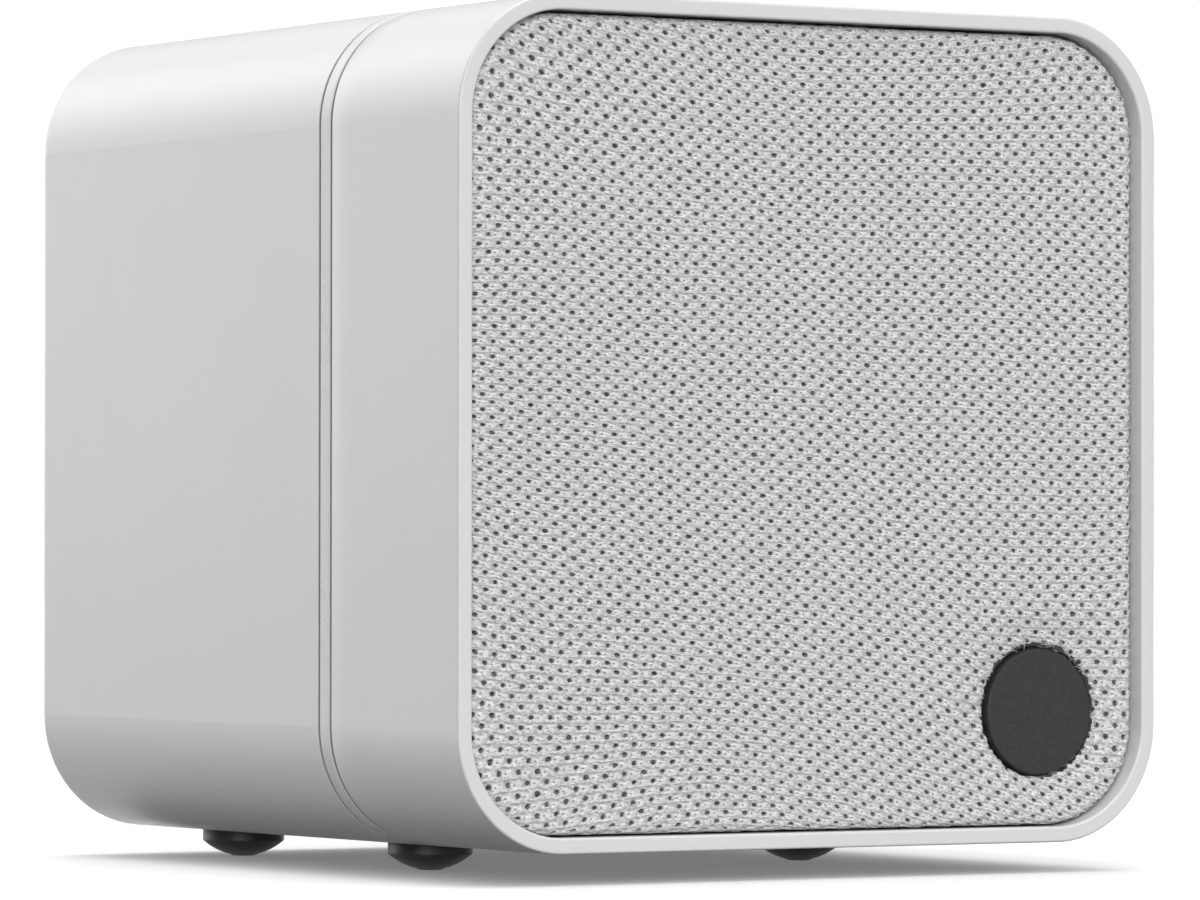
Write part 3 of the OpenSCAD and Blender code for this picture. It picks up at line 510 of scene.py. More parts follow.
def paper_mat():
    """Pressed dark paper with short light fibres."""
    k = M("cone_paper", rough=0.8, Sheen_Weight=0.15, Sheen_Roughness=0.6)
    v1 = k.mapped((1, 1, 6), (0, 0.5, 0))
    v2 = k.mapped((6, 1, 1), (0, 0.3, 0))
    f1, f2 = k.noise(900, 5, 0.65, v1, 0.4), k.noise(900, 5, 0.65, v2, 0.4)
    fib = k.math("MAXIMUM", k.rng(f1, 0.56, 0.7, 0, 1), k.rng(f2, 0.56, 0.7, 0, 1))
    pulp = k.noise(380, 5, 0.6)
    c = k.mix(k.rng(pulp, 0.3, 0.7, 0, 1), g(0.018), g(0.032))
    c = k.mix(k.math("MULTIPLY", fib, 0.35), c, g(0.09))
    return k.done(c, k.rng(pulp, 0.3, 0.7, 0.7, 0.9), k.bump(k.math("ADD", pulp, k.math("MULTIPLY", fib, 0.4)), 0.00006))


MAT["cone_paper"] = paper_mat()


def spider_mat():
    k = M("spider_cloth", rough=0.85, Sheen_Weight=0.2, Sheen_Roughness=0.5)
    wx = k.node("ShaderNodeTexWave", wave_type="BANDS", bands_direction="X")
    wz = k.node("ShaderNodeTexWave", wave_type="BANDS", bands_direction="Z")
    for w in (wx, wz):
        w.inputs["Scale"].default_value = 700
        w.inputs["Distortion"].default_value = 0.6
        k.put(w.inputs["Vector"], k.tc.outputs["Object"])
    weave_and_gap_shade = k.math("MAXIMUM", wx.outputs["Fac"], wz.outputs["Fac"])
    # darker where the threads dip and leave gaps: painted shade between the threads (the same mask raises the threads
    # in the bump)
    c = k.mix(k.rng(weave_and_gap_shade, 0.3, 0.9, 0, 1), (0.25, 0.15, 0.04), (0.55, 0.37, 0.13))
    return k.done(c, 0.85, k.bump(weave_and_gap_shade, 0.0001))


MAT["spider_cloth"] = spider_mat()


def foam_mat():
    k = M("foam_grey", rough=0.95, Sheen_Weight=0.1)
    cells = k.voronoi(1100)
    big = k.noise(150, 4)
    # dark centres of the foam cells: painted shade in the pores (the same mask sinks them in the bump)
    pore_depth_and_shade = k.rng(cells, 0.0, 0.45, 0, 1)
    c = k.mix(pore_depth_and_shade, g(0.03), g(0.12))
    c = k.mix(k.rng(big, 0.3, 0.7, 0, 0.3), c, g(0.17))
    return k.done(c, 0.95, k.bump(pore_depth_and_shade, 0.0002))


MAT["foam_grey"] = foam_mat()


def badge_mat():
    """Dark powder coated disc: fine sparkle, slight orange peel."""
    k = M("badge_anthracite", rough=0.42, IOR=1.5)
    k.b.inputs["Specular IOR Level"].default_value = 0.28
    fine = k.noise(4200, 3, 0.7)
    speck = k.rng(k.noise(6500, 2, 0.5), 0.60, 0.72, 0, 1)
    mott = k.noise(900, 4, 0.6)
    c = k.mix(k.rng(mott, 0.3, 0.7, 0, 1), g(0.027), g(0.036))
    c = k.mix(k.math("MULTIPLY", speck, 0.5), c, g(0.10))
    return k.done(c, k.rng(mott, 0.3, 0.7, 0.38, 0.5), k.bump(fine, 0.000012))


MAT["badge_anthracite"] = badge_mat()


# ---------------------------------------------------------------- camera
YAW, PITCH, ROLL = (math.radians(a) for a in (31.652, 0.822, 0.061))
cyw, syw, cp, sp, cr_, sr_ = (math.cos(YAW), math.sin(YAW), math.cos(PITCH), math.sin(PITCH), math.cos(ROLL), math.sin(ROLL))
fwd = Vector((syw * cp, cyw * cp, sp))
right0 = Vector((cyw, -syw, 0))
up0 = right0.cross(fwd)
right = cr_ * right0 + sr_ * up0
up = -sr_ * right0 + cr_ * up0
cam_data = bpy.data.cameras.new("camera")
cam = bpy.data.objects.new("camera", cam_data)
SC.collection.objects.link(cam)
cam.matrix_world = Matrix(((right[0], up[0], -fwd[0], -0.36493), (right[1], up[1], -fwd[1], -0.594795),
                           (right[2], up[2], -fwd[2], 0.03067), (0, 0, 0, 1)))
cam_data.lens = 212.11
cam_data.sensor_width = 36.0
cam_data.clip_start, cam_data.clip_end = 0.01, 50
SC.camera = cam


# ---------------------------------------------------------------- cabinet
def piece(ob, body, mat, replaces=()):
    if mat is not None:
        ob.data.materials.clear()
        ob.data.materials.append(MAT[mat] if isinstance(mat, str) else mat)
    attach(ob, body)
    if replaces:
        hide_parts(*replaces)
    return ob


def pad(x, z, r0, r1, y0, y1, seg=48):
    v, f = turned([(r0, y0), (r1, y0), (r1, y1), (r0, y1)], seg, (x, z))
    return v, [tuple(reversed(q)) for q in f]


SX, SZ = 30.6, HH - 8.4
ro, ri, rg = 0.22, 0.22, 0.10
sleeve_prof = (
    [(0, SEAM0 - rg - 3.0), (0, YF + ro + 0.05)]
    + [(ro - ro * math.cos(t), YF + ro - ro * math.sin(t)) for t in np.radians(np.linspace(0, 90, 7))]
    + [(ro + 0.05, YF), (RIM - ri - 0.05, YF)]
    + [(RIM - ri + ri * math.sin(t), YF + ri - ri * math.cos(t)) for t in np.radians(np.linspace(0, 90, 6))]
    + [(RIM, YF + ri + 0.05), (RIM, LEDGE0), (5, LEDGE0, 7), (5, LEDGE1, 7), (WALL, LEDGE1),
       (WALL, TONGUE_END), (TONGUE, TONGUE_END), (TONGUE, SEAM0), (rg + 0.05, SEAM0)]
    + [(rg - rg * math.sin(t), SEAM0 - rg + rg * math.cos(t)) for t in np.radians(np.linspace(0, 90, 4))]
)
pads = [pad(sx * SX, ZC + sz * SZ, 1.7, 4.75, LEDGE0 + 0.02, LEDGE1) for sx in (-1, 1) for sz in (-1, 1)]
sleeve = loft("sleeve_shell", sleeve_prof, nc=36, extra=pads)
fix_normals(sleeve)
piece(sleeve, "cabinet", "gloss_white", replaces=["cabinet_front_sleeve"])

b0, b1 = band_lo[1], band_hi[1]
rb = 0.09
band_prof = (
    [(rb + 0.03, b0)] + [(rb - rb * math.sin(t), b0 + rb - rb * math.cos(t)) for t in np.radians(np.linspace(0, 90, 4))]
    + [(0, b0 + rb + 0.04), (0, b1 - rb - 0.04)]
    + [(rb - rb * math.cos(t), b1 - rb + rb * math.sin(t)) for t in np.radians(np.linspace(0, 90, 4))]
    + [(rb + 0.03, b1), (TONGUE - 0.05, b1), (TONGUE - 0.05, b0)]
)
band = loft("seam_ring", band_prof, nc=36)
fix_normals(band)
piece(band, "cabinet", "trim_white", replaces=["seam_band"])

# thin dark grey ring on the inner face of each groove: painted shade standing in for the groove's shadow, not a real
# part of the cabinet
for nm, yy in (("groove_shade_ring_front", b0 - 0.03), ("groove_shade_ring_rear", SEAM1 - 0.03)):
    lip = loft(nm, [(0.11, yy - 0.025), (1.30, yy - 0.025), (1.30, yy + 0.02), (0.11, yy + 0.02)], nc=36)
    fix_normals(lip)
    piece(lip, "cabinet", MAT["groove_painted_shade"])


# ---------------------------------------------------------------- feet
def foot_piece(name, node):
    lo, hi = nbox(node)
    cx, cy = (lo[0] + hi[0]) / 2, (lo[1] + hi[1]) / 2
    z0 = b_lo[2]
    # rounded cap, 4 mm half width and 1.5 mm high, then a straight collar
    R_CAP = (4.0 ** 2 + 1.5 ** 2) / (2 * 1.5)
    dome = [(0, 0.0), (0.6, 0.004), (1.1, 0.02)]
    for rad in (1.5, 1.9, 2.3, 2.7, 3.05, 3.35, 3.6, 3.8, 3.92):
        dome.append((rad, max(R_CAP - math.sqrt(R_CAP ** 2 - rad ** 2), 0.03)))
    dome += [(3.98, 1.47), (4.02, 1.50), (4.02, 1.53), (4.05, 1.56), (4.1, 1.60), (4.1, z0 - 0.16), (4.07, z0 - 0.08), (4.0, z0 - 0.02), (3.85, z0)]
    prof = dome + [(2.05, z0), (2.05, z0 + WALL + 0.05), (2.45, z0 + WALL + 0.2), (2.6, z0 + WALL + 0.45),
                   (2.5, z0 + WALL + 1.1), (1.9, z0 + WALL + 1.9), (1.2, z0 + WALL + 2.55), (0, z0 + WALL + 2.6)]
    ob = lathe("pad_" + node, prof, 72, (cx, cy, 0), axis="z", close=False, sharp=50)
    # the moulding nib in the middle and the fine parting line are not modelled
    return piece(ob, "cabinet", MAT["foot_rubber"], replaces=[node])


for nd in ("foot_front_left", "foot_front_right", "foot_rear_left", "foot_rear_right"):
    foot_piece(nd, nd)


# ---------------------------------------------------------------- knitted cloth
PU, PV_ = 2.05, 0.765          # hole pitch along a row, distance between rows
S = dict(c=-0.056, X=0.015, Z=0.095, XZ=0.037, X2=0.036, Z2=-0.032, X2Z=-0.097, XZ2=-0.064, Z3=-0.048, X3=0.029,
         XZ3=0.463, X3Z=-0.322)


def row_slope(x, z):
    X, Z = np.clip(x / 37.0, -1, 1), np.clip(z / 37.5, -1, 1)
    s = (S["c"] + S["X"] * X + S["Z"] * Z + S["XZ"] * X * Z + S["X2"] * X ** 2 + S["Z2"] * Z ** 2 + S["X2Z"] * X * X * Z
         + S["XZ2"] * X * Z * Z + S["Z3"] * Z ** 3 + S["X3"] * X ** 3 + S["XZ3"] * X * Z ** 3 + S["X3Z"] * X ** 3 * Z)
    return np.clip(s, -0.2, 0.12)


XS = np.arange(-44, 44.01, 0.5)
ZS = np.arange(-54, 54.01, 0.5)
flow = np.zeros((len(XS), len(ZS)))
mid = int(np.argmin(abs(XS)))
flow[mid] = ZS
for k in range(mid, len(XS) - 1):
    h = 0.5
    s1 = row_slope(XS[k], flow[k])
    s2 = row_slope(XS[k] + h / 2, flow[k] + h / 2 * s1)
    flow[k + 1] = flow[k] + h * s2
for k in range(mid, 0, -1):
    h = -0.5
    s1 = row_slope(XS[k], flow[k])
    s2 = row_slope(XS[k] + h / 2, flow[k] + h / 2 * s1)
    flow[k - 1] = flow[k] + h * s2


def lattice_to_plane(u, v):
    """Row and column numbers to the cloth's own flat plane, in mm from the middle of the front."""
    x = u * PU
    z0 = v * PV_
    x = x + 0.035 * z0
    fx = np.clip((x - XS[0]) / 0.5, 0, len(XS) - 1.001)
    fz = np.clip((z0 - ZS[0]) / 0.5, 0, len(ZS) - 1.001)
    i, j = fx.astype(int), fz.astype(int)
    a, b = fx - i, fz - j
    z = (flow[i, j] * (1 - a) * (1 - b) + flow[i + 1, j] * a * (1 - b)
         + flow[i, j + 1] * (1 - a) * b + flow[i + 1, j + 1] * a * b)
    # slow unevenness of the stretch
    x = x + 0.09 * np.sin(0.31 * z + 0.13 * x + 0.7) + 0.06 * np.sin(0.83 * z - 0.21 * x)
    z = z + 0.07 * np.sin(0.27 * x + 0.11 * z + 1.9) + 0.04 * np.sin(0.9 * x + 0.4 * z)
    return x, z


CLA, CLB = (cl_hi[0] - cl_lo[0]) / 2 + 0.1, (cl_hi[2] - cl_lo[2]) / 2 + 0.1
CLR = CR - (HW - CLA)
Y0 = cl_lo[1] + 0.05          # mean level of the cloth's face
ROLL_R = 1.0
DMAX = ROLL_R * math.pi / 2 + (cl_hi[1] - Y0 - ROLL_R)
RH = 6.33                      # wall of the badge's hole in the cloth
RH_ROLL = 0.5
T_MAX = RH_ROLL * math.pi / 2 + 0.5


def cloth_point(x, z, h):
    """Flat plane of the cloth to space: rolls over the frame's edge and into the badge's hole. h is height off it."""
    ax, az = CLA - ROLL_R, CLB - ROLL_R
    r = CLR - ROLL_R
    qx, qz = np.abs(x) - (ax - r), np.abs(z) - (az - r)
    ox, oz = np.maximum(qx, 0), np.maximum(qz, 0)
    ln = np.hypot(ox, oz)
    d = ln + np.minimum(np.maximum(qx, qz), 0) - r
    flatx = qx > qz
    nx = np.where(ln > 1e-9, ox / np.maximum(ln, 1e-9), np.where(flatx, 1.0, 0.0)) * np.sign(x)
    nz = np.where(ln > 1e-9, oz / np.maximum(ln, 1e-9), np.where(flatx, 0.0, 1.0)) * np.sign(z)
    d = np.minimum(d, DMAX)
    dd = np.maximum(d, 0)
    over = np.hypot(ox, oz) + np.minimum(np.maximum(qx, qz), 0) - r
    bx, bz = x - nx * np.maximum(over, 0), z - nz * np.maximum(over, 0)
    phi = np.minimum(dd / ROLL_R, math.pi / 2)
    back = np.maximum(dd - ROLL_R * math.pi / 2, 0)
    px = bx + nx * ROLL_R * np.sin(phi)
    pz = bz + nz * ROLL_R * np.sin(phi)
    py = ROLL_R * (1 - np.cos(phi)) + back
    n3 = np.stack([nx * np.sin(phi), -np.cos(phi), nz * np.sin(phi)], -1)
    flat = dd <= 0
    n3[flat] = (0, -1, 0)
    p = np.stack([px, Y0 + py, pz + ZC], -1)
    # badge hole
    ex, ez = x - BX, (z + ZC) - BZ
    rr = np.hypot(ex, ez)
    ang = np.arctan2(ez, ex)
    cxn, czn = ex / np.maximum(rr, 1e-9), ez / np.maximum(rr, 1e-9)
    near = rr < 13
    jag = 0.05 * np.sin(17 * ang) + 0.04 * np.sin(29 * ang + 1.3) + 0.03 * np.sin(43 * ang + 0.4)
    r1 = RH + RH_ROLL + jag
    t = np.clip(r1 - rr, 0, T_MAX)
    ph = np.minimum(t / RH_ROLL, math.pi / 2)
    rad = np.where(rr < r1, r1 - RH_ROLL * np.sin(ph), rr)
    deep = RH_ROLL * (1 - np.cos(ph)) + np.maximum(t - RH_ROLL * math.pi / 2, 0)
    upright = 0.5 + 0.5 * np.cos(ang - math.radians(60))
    dip = (0.14 + 0.26 * upright) * np.exp(-(np.maximum(rr - r1, 0) / (1.1 + 0.7 * upright)) ** 2)
    hole = near & (dd <= 0)
    p[..., 0] = np.where(hole, BX + cxn * rad, p[..., 0])
    p[..., 2] = np.where(hole, BZ + czn * rad, p[..., 2])
    p[..., 1] = np.where(hole, Y0 + deep + dip, p[..., 1])
    hn = np.stack([-cxn * np.sin(ph), -np.cos(ph), -czn * np.sin(ph)], -1)
    n3 = np.where(hole[..., None], hn, n3)
    q = p + n3 * h[..., None]
    return q, d, rr


def build_cloth():
    # heights of the shared boundary points of a cell, by quarter column, at its top edge
    top_h = {0: -0.07, 1: -0.02, 2: -0.05, 3: -0.12}     # u = -0.5, -0.25, 0, 0.25
    side_h = 0.075
    seq = [(2, 0), (2, 1), (1, 1), (0, 1), (-1, 1), (-2, 1), (-2, 0), (-2, -1), (-1, -1), (0, -1), (1, -1), (2, -1)]
    jmax = int(56 / PV_)
    imax = int(46 / PU)
    uc, vc = [], []
    for j in range(-jmax, jmax + 1):
        for i in range(-imax, imax + 1):
            uc.append(i + 0.5 * (j % 2))
            vc.append(j)
    uc, vc = np.array(uc), np.array(vc, float)
    x, z = lattice_to_plane(uc, vc)
    _, d, rr = cloth_point(x, z, np.zeros(len(x)))
    ax, az, r = CLA - ROLL_R, CLB - ROLL_R, CLR - ROLL_R
    qx, qz = np.abs(x) - (ax - r), np.abs(z) - (az - r)
    full = np.hypot(np.maximum(qx, 0), np.maximum(qz, 0)) + np.minimum(np.maximum(qx, qz), 0) - r
    keep = (full < DMAX + 0.45) & (rr > RH + RH_ROLL - T_MAX - 0.35)
    uc, vc = uc[keep], vc[keep]
    keys, U, V, H = {}, [], [], []
    faces, uvs = [], []
    n_cells = len(uc)
    size = 1 + 0.05 * rng.standard_normal(n_cells)
    rise = 0.02 * rng.standard_normal(n_cells)
    for c in range(n_cells):
        cu, cv = uc[c], vc[c]
        ring = []
        for k, (a, b) in enumerate(seq):
            key = (int(round(4 * cu)) + a, int(round(2 * cv)) + b)
            if key not in keys:
                keys[key] = len(U)
                U.append(cu + a / 4)
                V.append(cv + b / 2)
                if b == 0:
                    hgt = side_h
                elif b == 1:
                    hgt = top_h[(a + 2) % 4]
                else:
                    hgt = top_h[(a + 2 + 2) % 4]
                H.append(hgt + 0.012 * rng.standard_normal())
            ring.append(keys[key])
        lip, rec = [], []
        for k in range(12):
            t = math.radians(30 * k)
            ct, st = math.cos(t), math.sin(t)
            ra, rb_ = 0.32 * size[c], 0.215 * size[c]
            lip.append(len(U))
            U.append(cu + ra * ct / PU)
            V.append(cv + rb_ * st / PV_)
            H.append(0.045 + rise[c] + 0.02 * ct + (0.02 if st < -0.3 else 0.0))
        for k in range(12):
            t = math.radians(30 * k)
            ct, st = math.cos(t), math.sin(t)
            rec.append(len(U))
            U.append(cu + 0.27 * size[c] * ct / PU)
            V.append(cv + 0.175 * size[c] * st / PV_)
            H.append(-0.22)
        loc_b = [(0.5 + a / 4, 0.5 + b / 2) for a, b in seq]
        loc_l = [(0.5 + 0.27 / PU * math.cos(math.radians(30 * k)), 0.5 + 0.205 / PV_ * math.sin(math.radians(30 * k))) for k in range(12)]
        loc_r = [(0.5 + 0.13 / PU * math.cos(math.radians(30 * k)), 0.5 + 0.1 / PV_ * math.sin(math.radians(30 * k))) for k in range(12)]
        for k in range(12):
            m = (k + 1) % 12
            faces.append((ring[k], ring[m], lip[m], lip[k]))
            uvs.append((loc_b[k], loc_b[m], loc_l[m], loc_l[k]))
            faces.append((lip[k], lip[m], rec[m], rec[k]))
            uvs.append((loc_l[k], loc_l[m], loc_r[m], loc_r[k]))
        # a closed floor at the bottom of each hole, coloured near black by the knit material: painted shade of the hole
        for k in (1, 3, 5, 7, 9):
            faces.append((rec[0], rec[k], rec[k + 1], rec[(k + 2) % 12]))
            uvs.append((loc_r[0], loc_r[k], loc_r[k + 1], loc_r[(k + 2) % 12]))
    U, V, H = np.array(U), np.array(V), np.array(H)
    x, z = lattice_to_plane(U, V)
    p, d, rr = cloth_point(x, z, H)
    qx, qz = np.abs(x) - (ax - r), np.abs(z) - (az - r)
    full = np.hypot(np.maximum(qx, 0), np.maximum(qz, 0)) + np.minimum(np.maximum(qx, qz), 0) - r
    out = (full > DMAX) | (rr < RH + RH_ROLL - T_MAX)
    F = np.array(faces)
    keepf = ~out[F].all(1)
    F = F[keepf]
    uvs = np.array(uvs)[keepf]
    used = np.zeros(len(U), bool)
    used[F.ravel()] = True
    remap = np.cumsum(used) - 1
    ob = add_mesh("knit_cloth", p[used], remap[F])
    me = ob.data
    uvl = me.uv_layers.new(name="cell")
    if len(me.loops) == uvs.shape[0] * 4:
        uvl.data.foreach_set("uv", uvs.reshape(-1).astype(np.float32))
    else:
        raise RuntimeError("cloth faces changed on validation")
    lat = me.uv_layers.new(name="lattice")
    idx = np.zeros(len(me.loops), np.int32)
    me.loops.foreach_get("vertex_index", idx)
    uu, vv = U[used][idx] * PU, V[used][idx] * PV_
    lat.data.foreach_set("uv", (np.stack([uu, vv], -1) / 100 + 0.5).reshape(-1).astype(np.float32))
    return ob


def knit_mat():
    k = M("knit_grey", rough=0.85, Sheen_Weight=0.12, Sheen_Roughness=0.5, IOR=1.45)
    k.b.inputs["Specular IOR Level"].default_value = 0.3
    cell = k.node("ShaderNodeUVMap", uv_map="cell").outputs[0]
    lat = k.node("ShaderNodeUVMap", uv_map="lattice").outputs[0]

    def blob(cx, cz, hx, hz, rot=0.0, soft=1.0):
        """1 at an ellipse in the cell, centre and half sizes in mm from the hole's middle, fading outwards."""
        tot = None
        for du, dv in ((0, 0), (-1, 0), (1, 0), (0.5, 1), (-0.5, 1), (0.5, -1), (-0.5, -1)):
            # only the copies that can reach this cell
            x0, z0 = cx + du * PU, cz + dv * PV_
            reach = max(hx, hz) * (1 + soft)
            if abs(x0) > PU / 2 + reach or abs(z0) > PV_ / 2 + reach:
                continue
            mp = k.node("ShaderNodeMapping", vector_type="TEXTURE")
            k.put(mp.inputs["Vector"], sc_out)
            mp.inputs["Location"].default_value = (x0, z0, 0)
            mp.inputs["Rotation"].default_value = (0, 0, math.radians(rot))
            mp.inputs["Scale"].default_value = (hx, hz, 1)
            ln = k.node("ShaderNodeVectorMath", operation="LENGTH")
            k.put(ln.inputs[0], mp.outputs[0])
            f = k.rng(ln.outputs["Value"], 1 - soft * 0.5, 1 + soft, 1, 0, smooth=True)
            tot = f if tot is None else k.math("MAXIMUM", tot, f)
        return tot

    # cell coordinates in mm from the hole's middle
    sub = k.node("ShaderNodeVectorMath", operation="SUBTRACT")
    k.put(sub.inputs[0], cell)
    sub.inputs[1].default_value = (0.5, 0.5, 0)
    mul = k.node("ShaderNodeVectorMath", operation="MULTIPLY")
    k.put(mul.inputs[0], sub.outputs[0])
    mul.inputs[1].default_value = (PU, PV_, 0)
    # wobble, so that no two cells are alike
    wob = k.node("ShaderNodeTexNoise")
    k.put(wob.inputs["Vector"], lat)
    wob.inputs["Scale"].default_value = 110
    wob.inputs["Detail"].default_value = 2
    wsub = k.node("ShaderNodeVectorMath", operation="SUBTRACT")
    k.put(wsub.inputs[0], wob.outputs["Color"])
    wsub.inputs[1].default_value = (0.5, 0.5, 0.5)
    wmul = k.node("ShaderNodeVectorMath", operation="MULTIPLY")
    k.put(wmul.inputs[0], wsub.outputs[0])
    wmul.inputs[1].default_value = (0.28, 0.14, 0)
    sadd = k.node("ShaderNodeVectorMath", operation="ADD")
    k.put(sadd.inputs[0], mul.outputs[0])
    k.put(sadd.inputs[1], wmul.outputs[0])
    sc_out = sadd.outputs[0]

    # dark spot of the small pinhole beside each hole: painted shade inside the pinhole (the same mask sinks it in the
    # bump)
    pin = blob(0.64, -0.05, 0.10, 0.045, -5, 0.7)
    # darker grey streaks between the rows: painted shade in the valleys between rows of loops (the same masks sink them
    # in the bump)
    row_valley_shade = blob(0.50, 0.30, 0.50, 0.070, -7, 0.8)
    row_valley_shade2 = blob(-0.48, 0.30, 0.34, 0.045, -5, 0.9)
    # bright patches beside each hole: painted highlight on the rounded floats (the same masks raise them in the bump)
    bulge_highlight1 = blob(0.40, 0.03, 0.15, 0.08, -4, 0.9)
    bulge_highlight2 = blob(0.98, -0.02, 0.32, 0.10, -5, 0.9)
    # darker ring over each hole and its lip: painted shade where the cloth turns down into the hole
    rim = blob(0.0, 0.0, 0.30, 0.23, 0, 0.55)

    fv = k.mapped((1.0, 3.0, 1.0), (0, 0, math.radians(4)), lat)
    fibre = k.noise(200, 3, 0.6, fv, 0.2)
    fv2 = k.mapped((1.0, 3.4, 1.0), (0, 0, math.radians(-14)), lat)
    yarn = k.noise(120, 3, 0.55, fv2, 0.2)
    fade = k.noise(9, 3, 0.5, lat)

    base = k.mix(k.rng(fibre, 0.41, 0.59, 0, 1), g(0.50), g(1.0))
    base = k.mix(k.rng(yarn, 0.35, 0.65, 0.20, 0), base, g(0.46))
    # painted shade in the row valleys
    base = k.mix(k.math("MULTIPLY", row_valley_shade, 0.55), base, g(0.36))
    base = k.mix(k.math("MULTIPLY", row_valley_shade2, 0.42), base, g(0.38))
    # painted highlight on the floats
    base = k.mix(k.math("MULTIPLY", bulge_highlight1, 0.50), base, g(0.95))
    base = k.mix(k.math("MULTIPLY", bulge_highlight2, 0.50), base, g(0.95))
    # painted shade round the holes
    base = k.mix(k.math("MULTIPLY", rim, 0.25), base, g(0.34))
    # painted shade in the pinholes
    base = k.mix(k.math("MULTIPLY", pin, 0.75), base, g(0.09))
    base = k.mix(k.rng(fade, 0.3, 0.7, 0, 0.08), base, g(0.68))
    # near black bottom of each hole: painted shade in the hole
    deep = blob(0.0, 0.0, 0.17, 0.12, 0, 0.45)
    base = k.mix(deep, base, k.mix(k.rng(fibre, 0.42, 0.60, 0, 1), g(0.05), g(0.20)))
    h = k.math("ADD", k.math("MULTIPLY", fibre, 0.35), k.math("MULTIPLY", yarn, 0.35))
    h = k.math("SUBTRACT", h, k.math("MULTIPLY", row_valley_shade, 0.55))
    h = k.math("SUBTRACT", h, k.math("MULTIPLY", row_valley_shade2, 0.35))
    h = k.math("SUBTRACT", h, k.math("MULTIPLY", pin, 1.0))
    h = k.math("ADD", h, k.math("MULTIPLY", bulge_highlight1, 0.25))
    h = k.math("ADD", h, k.math("MULTIPLY", bulge_highlight2, 0.3))
    return k.done(base, k.rng(fibre, 0.3, 0.7, 0.75, 0.95), k.bump(h, 0.00009, 0.8))


MAT["knit_grey"] = knit_mat()
cloth = build_cloth()
piece(cloth, "grille", "knit_grey", replaces=["grille_cloth"])


# short broken fibres at the cut edge round the badge
def fuzz():
    verts, faces = [], []
    for k in range(150):
        a = rng.uniform(0, 2 * math.pi)
        w = 0.5 + 0.5 * math.cos(a - math.radians(35))
        if rng.uniform() > 0.25 + 0.75 * w:
            continue
        r0 = RH + RH_ROLL + rng.uniform(-0.1, 0.5)
        y0 = Y0 + rng.uniform(0.02, 0.3)
        ln = rng.uniform(0.3, 0.9) * (0.5 + 0.6 * w)
        b = a + rng.normal(0, 0.12)
        pts = []
        for t in np.linspace(0, 1, 5):
            rad = r0 - ln * t
            aa = a + (b - a) * t
            pts.append((BX + rad * math.cos(aa), y0 - 0.10 * math.sin(math.pi * t) + 0.12 * t * t, BZ + rad * math.sin(aa)))
        v, f = tube_mesh(pts, np.linspace(0.036, 0.010, 5), 5)
        base = len(verts)
        verts += list(map(tuple, v))
        faces += [tuple(base + i for i in q) for q in f]
    ob = add_mesh("cloth_edge_fibres", verts, faces)
    return ob


def fibre_mat():
    k = M("fibre", rough=0.8, Sheen_Weight=0.2)
    n1 = k.noise(2500, 3)
    return k.done(k.mix(k.rng(n1, 0.3, 0.7, 0, 1), g(0.55), g(0.85)), 0.8, k.bump(n1, 0.00001))


MAT["fibre"] = fibre_mat()
fz = fuzz()
piece(fz, "grille", MAT["fibre"])


# ---------------------------------------------------------------- badge
by0 = bd_lo[1]
stem_y = bd_hi[1]
seat_y = fr_lo[1] + 0.9
badge_prof = ([(0, by0 + 0.015), (1.5, by0 + 0.013), (3.0, by0 + 0.008), (4.6, by0 + 0.003), (5.68, by0), (5.80, by0 + 0.004)]
              + [(5.80 + 0.19 * math.sin(t), by0 + 0.18 - 0.176 * math.cos(t)) for t in np.radians(np.linspace(12, 78, 6))]
              + [(6.02, by0 + 0.26), (6.06, by0 + 0.55), (BR, by0 + 0.7), (BR, seat_y - 0.05), (BR - 0.08, seat_y),
                 (1.6, seat_y), (1.5, seat_y + 0.1), (1.5, stem_y - 0.2), (1.3, stem_y), (0, stem_y)])
badge = lathe("badge_face", badge_prof, 128, (BX, BZ), close=False, sharp=60)
piece(badge, "grille", "badge_anthracite", replaces=["badge_disc"])

# ---------------------------------------------------------------- driver: soft ring, centring cloth, dome
bs_lo, bs_hi = nbox("driver_basket")
FL = bs_lo[1]


def blend_radial(ob):
    """Bakes the object's placement into its mesh; the piece is not attached to any body."""
    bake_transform(ob)


ROLL_C = 24.0
sp = [(28.4, FL - 0.4), (28.4, FL), (26.6, FL)]
sp += [(ROLL_C + 2.1 * math.cos(math.radians(a)), FL - 0.35 - 2.1 * math.sin(math.radians(a))) for a in range(0, 181, 9)]
sp += [(21.4, FL), (19.4, FL), (19.4, FL - 0.28), (19.55, FL - 0.4), (21.2, FL - 0.4)]
sp += [(ROLL_C + 2.5 * math.cos(math.radians(a)), FL - 0.42 - 2.5 * math.sin(math.radians(a))) for a in range(180, -1, -9)]
sp += [(26.75, FL - 0.4), (28.2, FL - 0.4)]
sur = lathe("surround_roll", sp, 144, (0, ZC), sharp=40)
sur.data.materials.append(MAT["surround_rubber"])
blend_radial(sur)
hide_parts("surround")

s_lo, s_hi = nbox("spider")
yc = (s_lo[1] + s_hi[1]) / 2
rr_ = np.linspace(8.35, 18.8, 64)
wave = np.where((rr_ < 9.3) | (rr_ > 17.6), 0, np.sin((rr_ - 9.3) / (17.6 - 9.3) * 2 * math.pi * 4)) * 0.42
prof = [(r, yc - 0.15 + w) for r, w in zip(rr_, wave)] + [(r, yc + 0.15 + w) for r, w in zip(rr_[::-1], wave[::-1])]
spd = lathe("spider_ring", prof, 120, (0, ZC), sharp=60)
spd.data.materials.append(MAT["spider_cloth"])
blend_radial(spd)
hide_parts("spider")

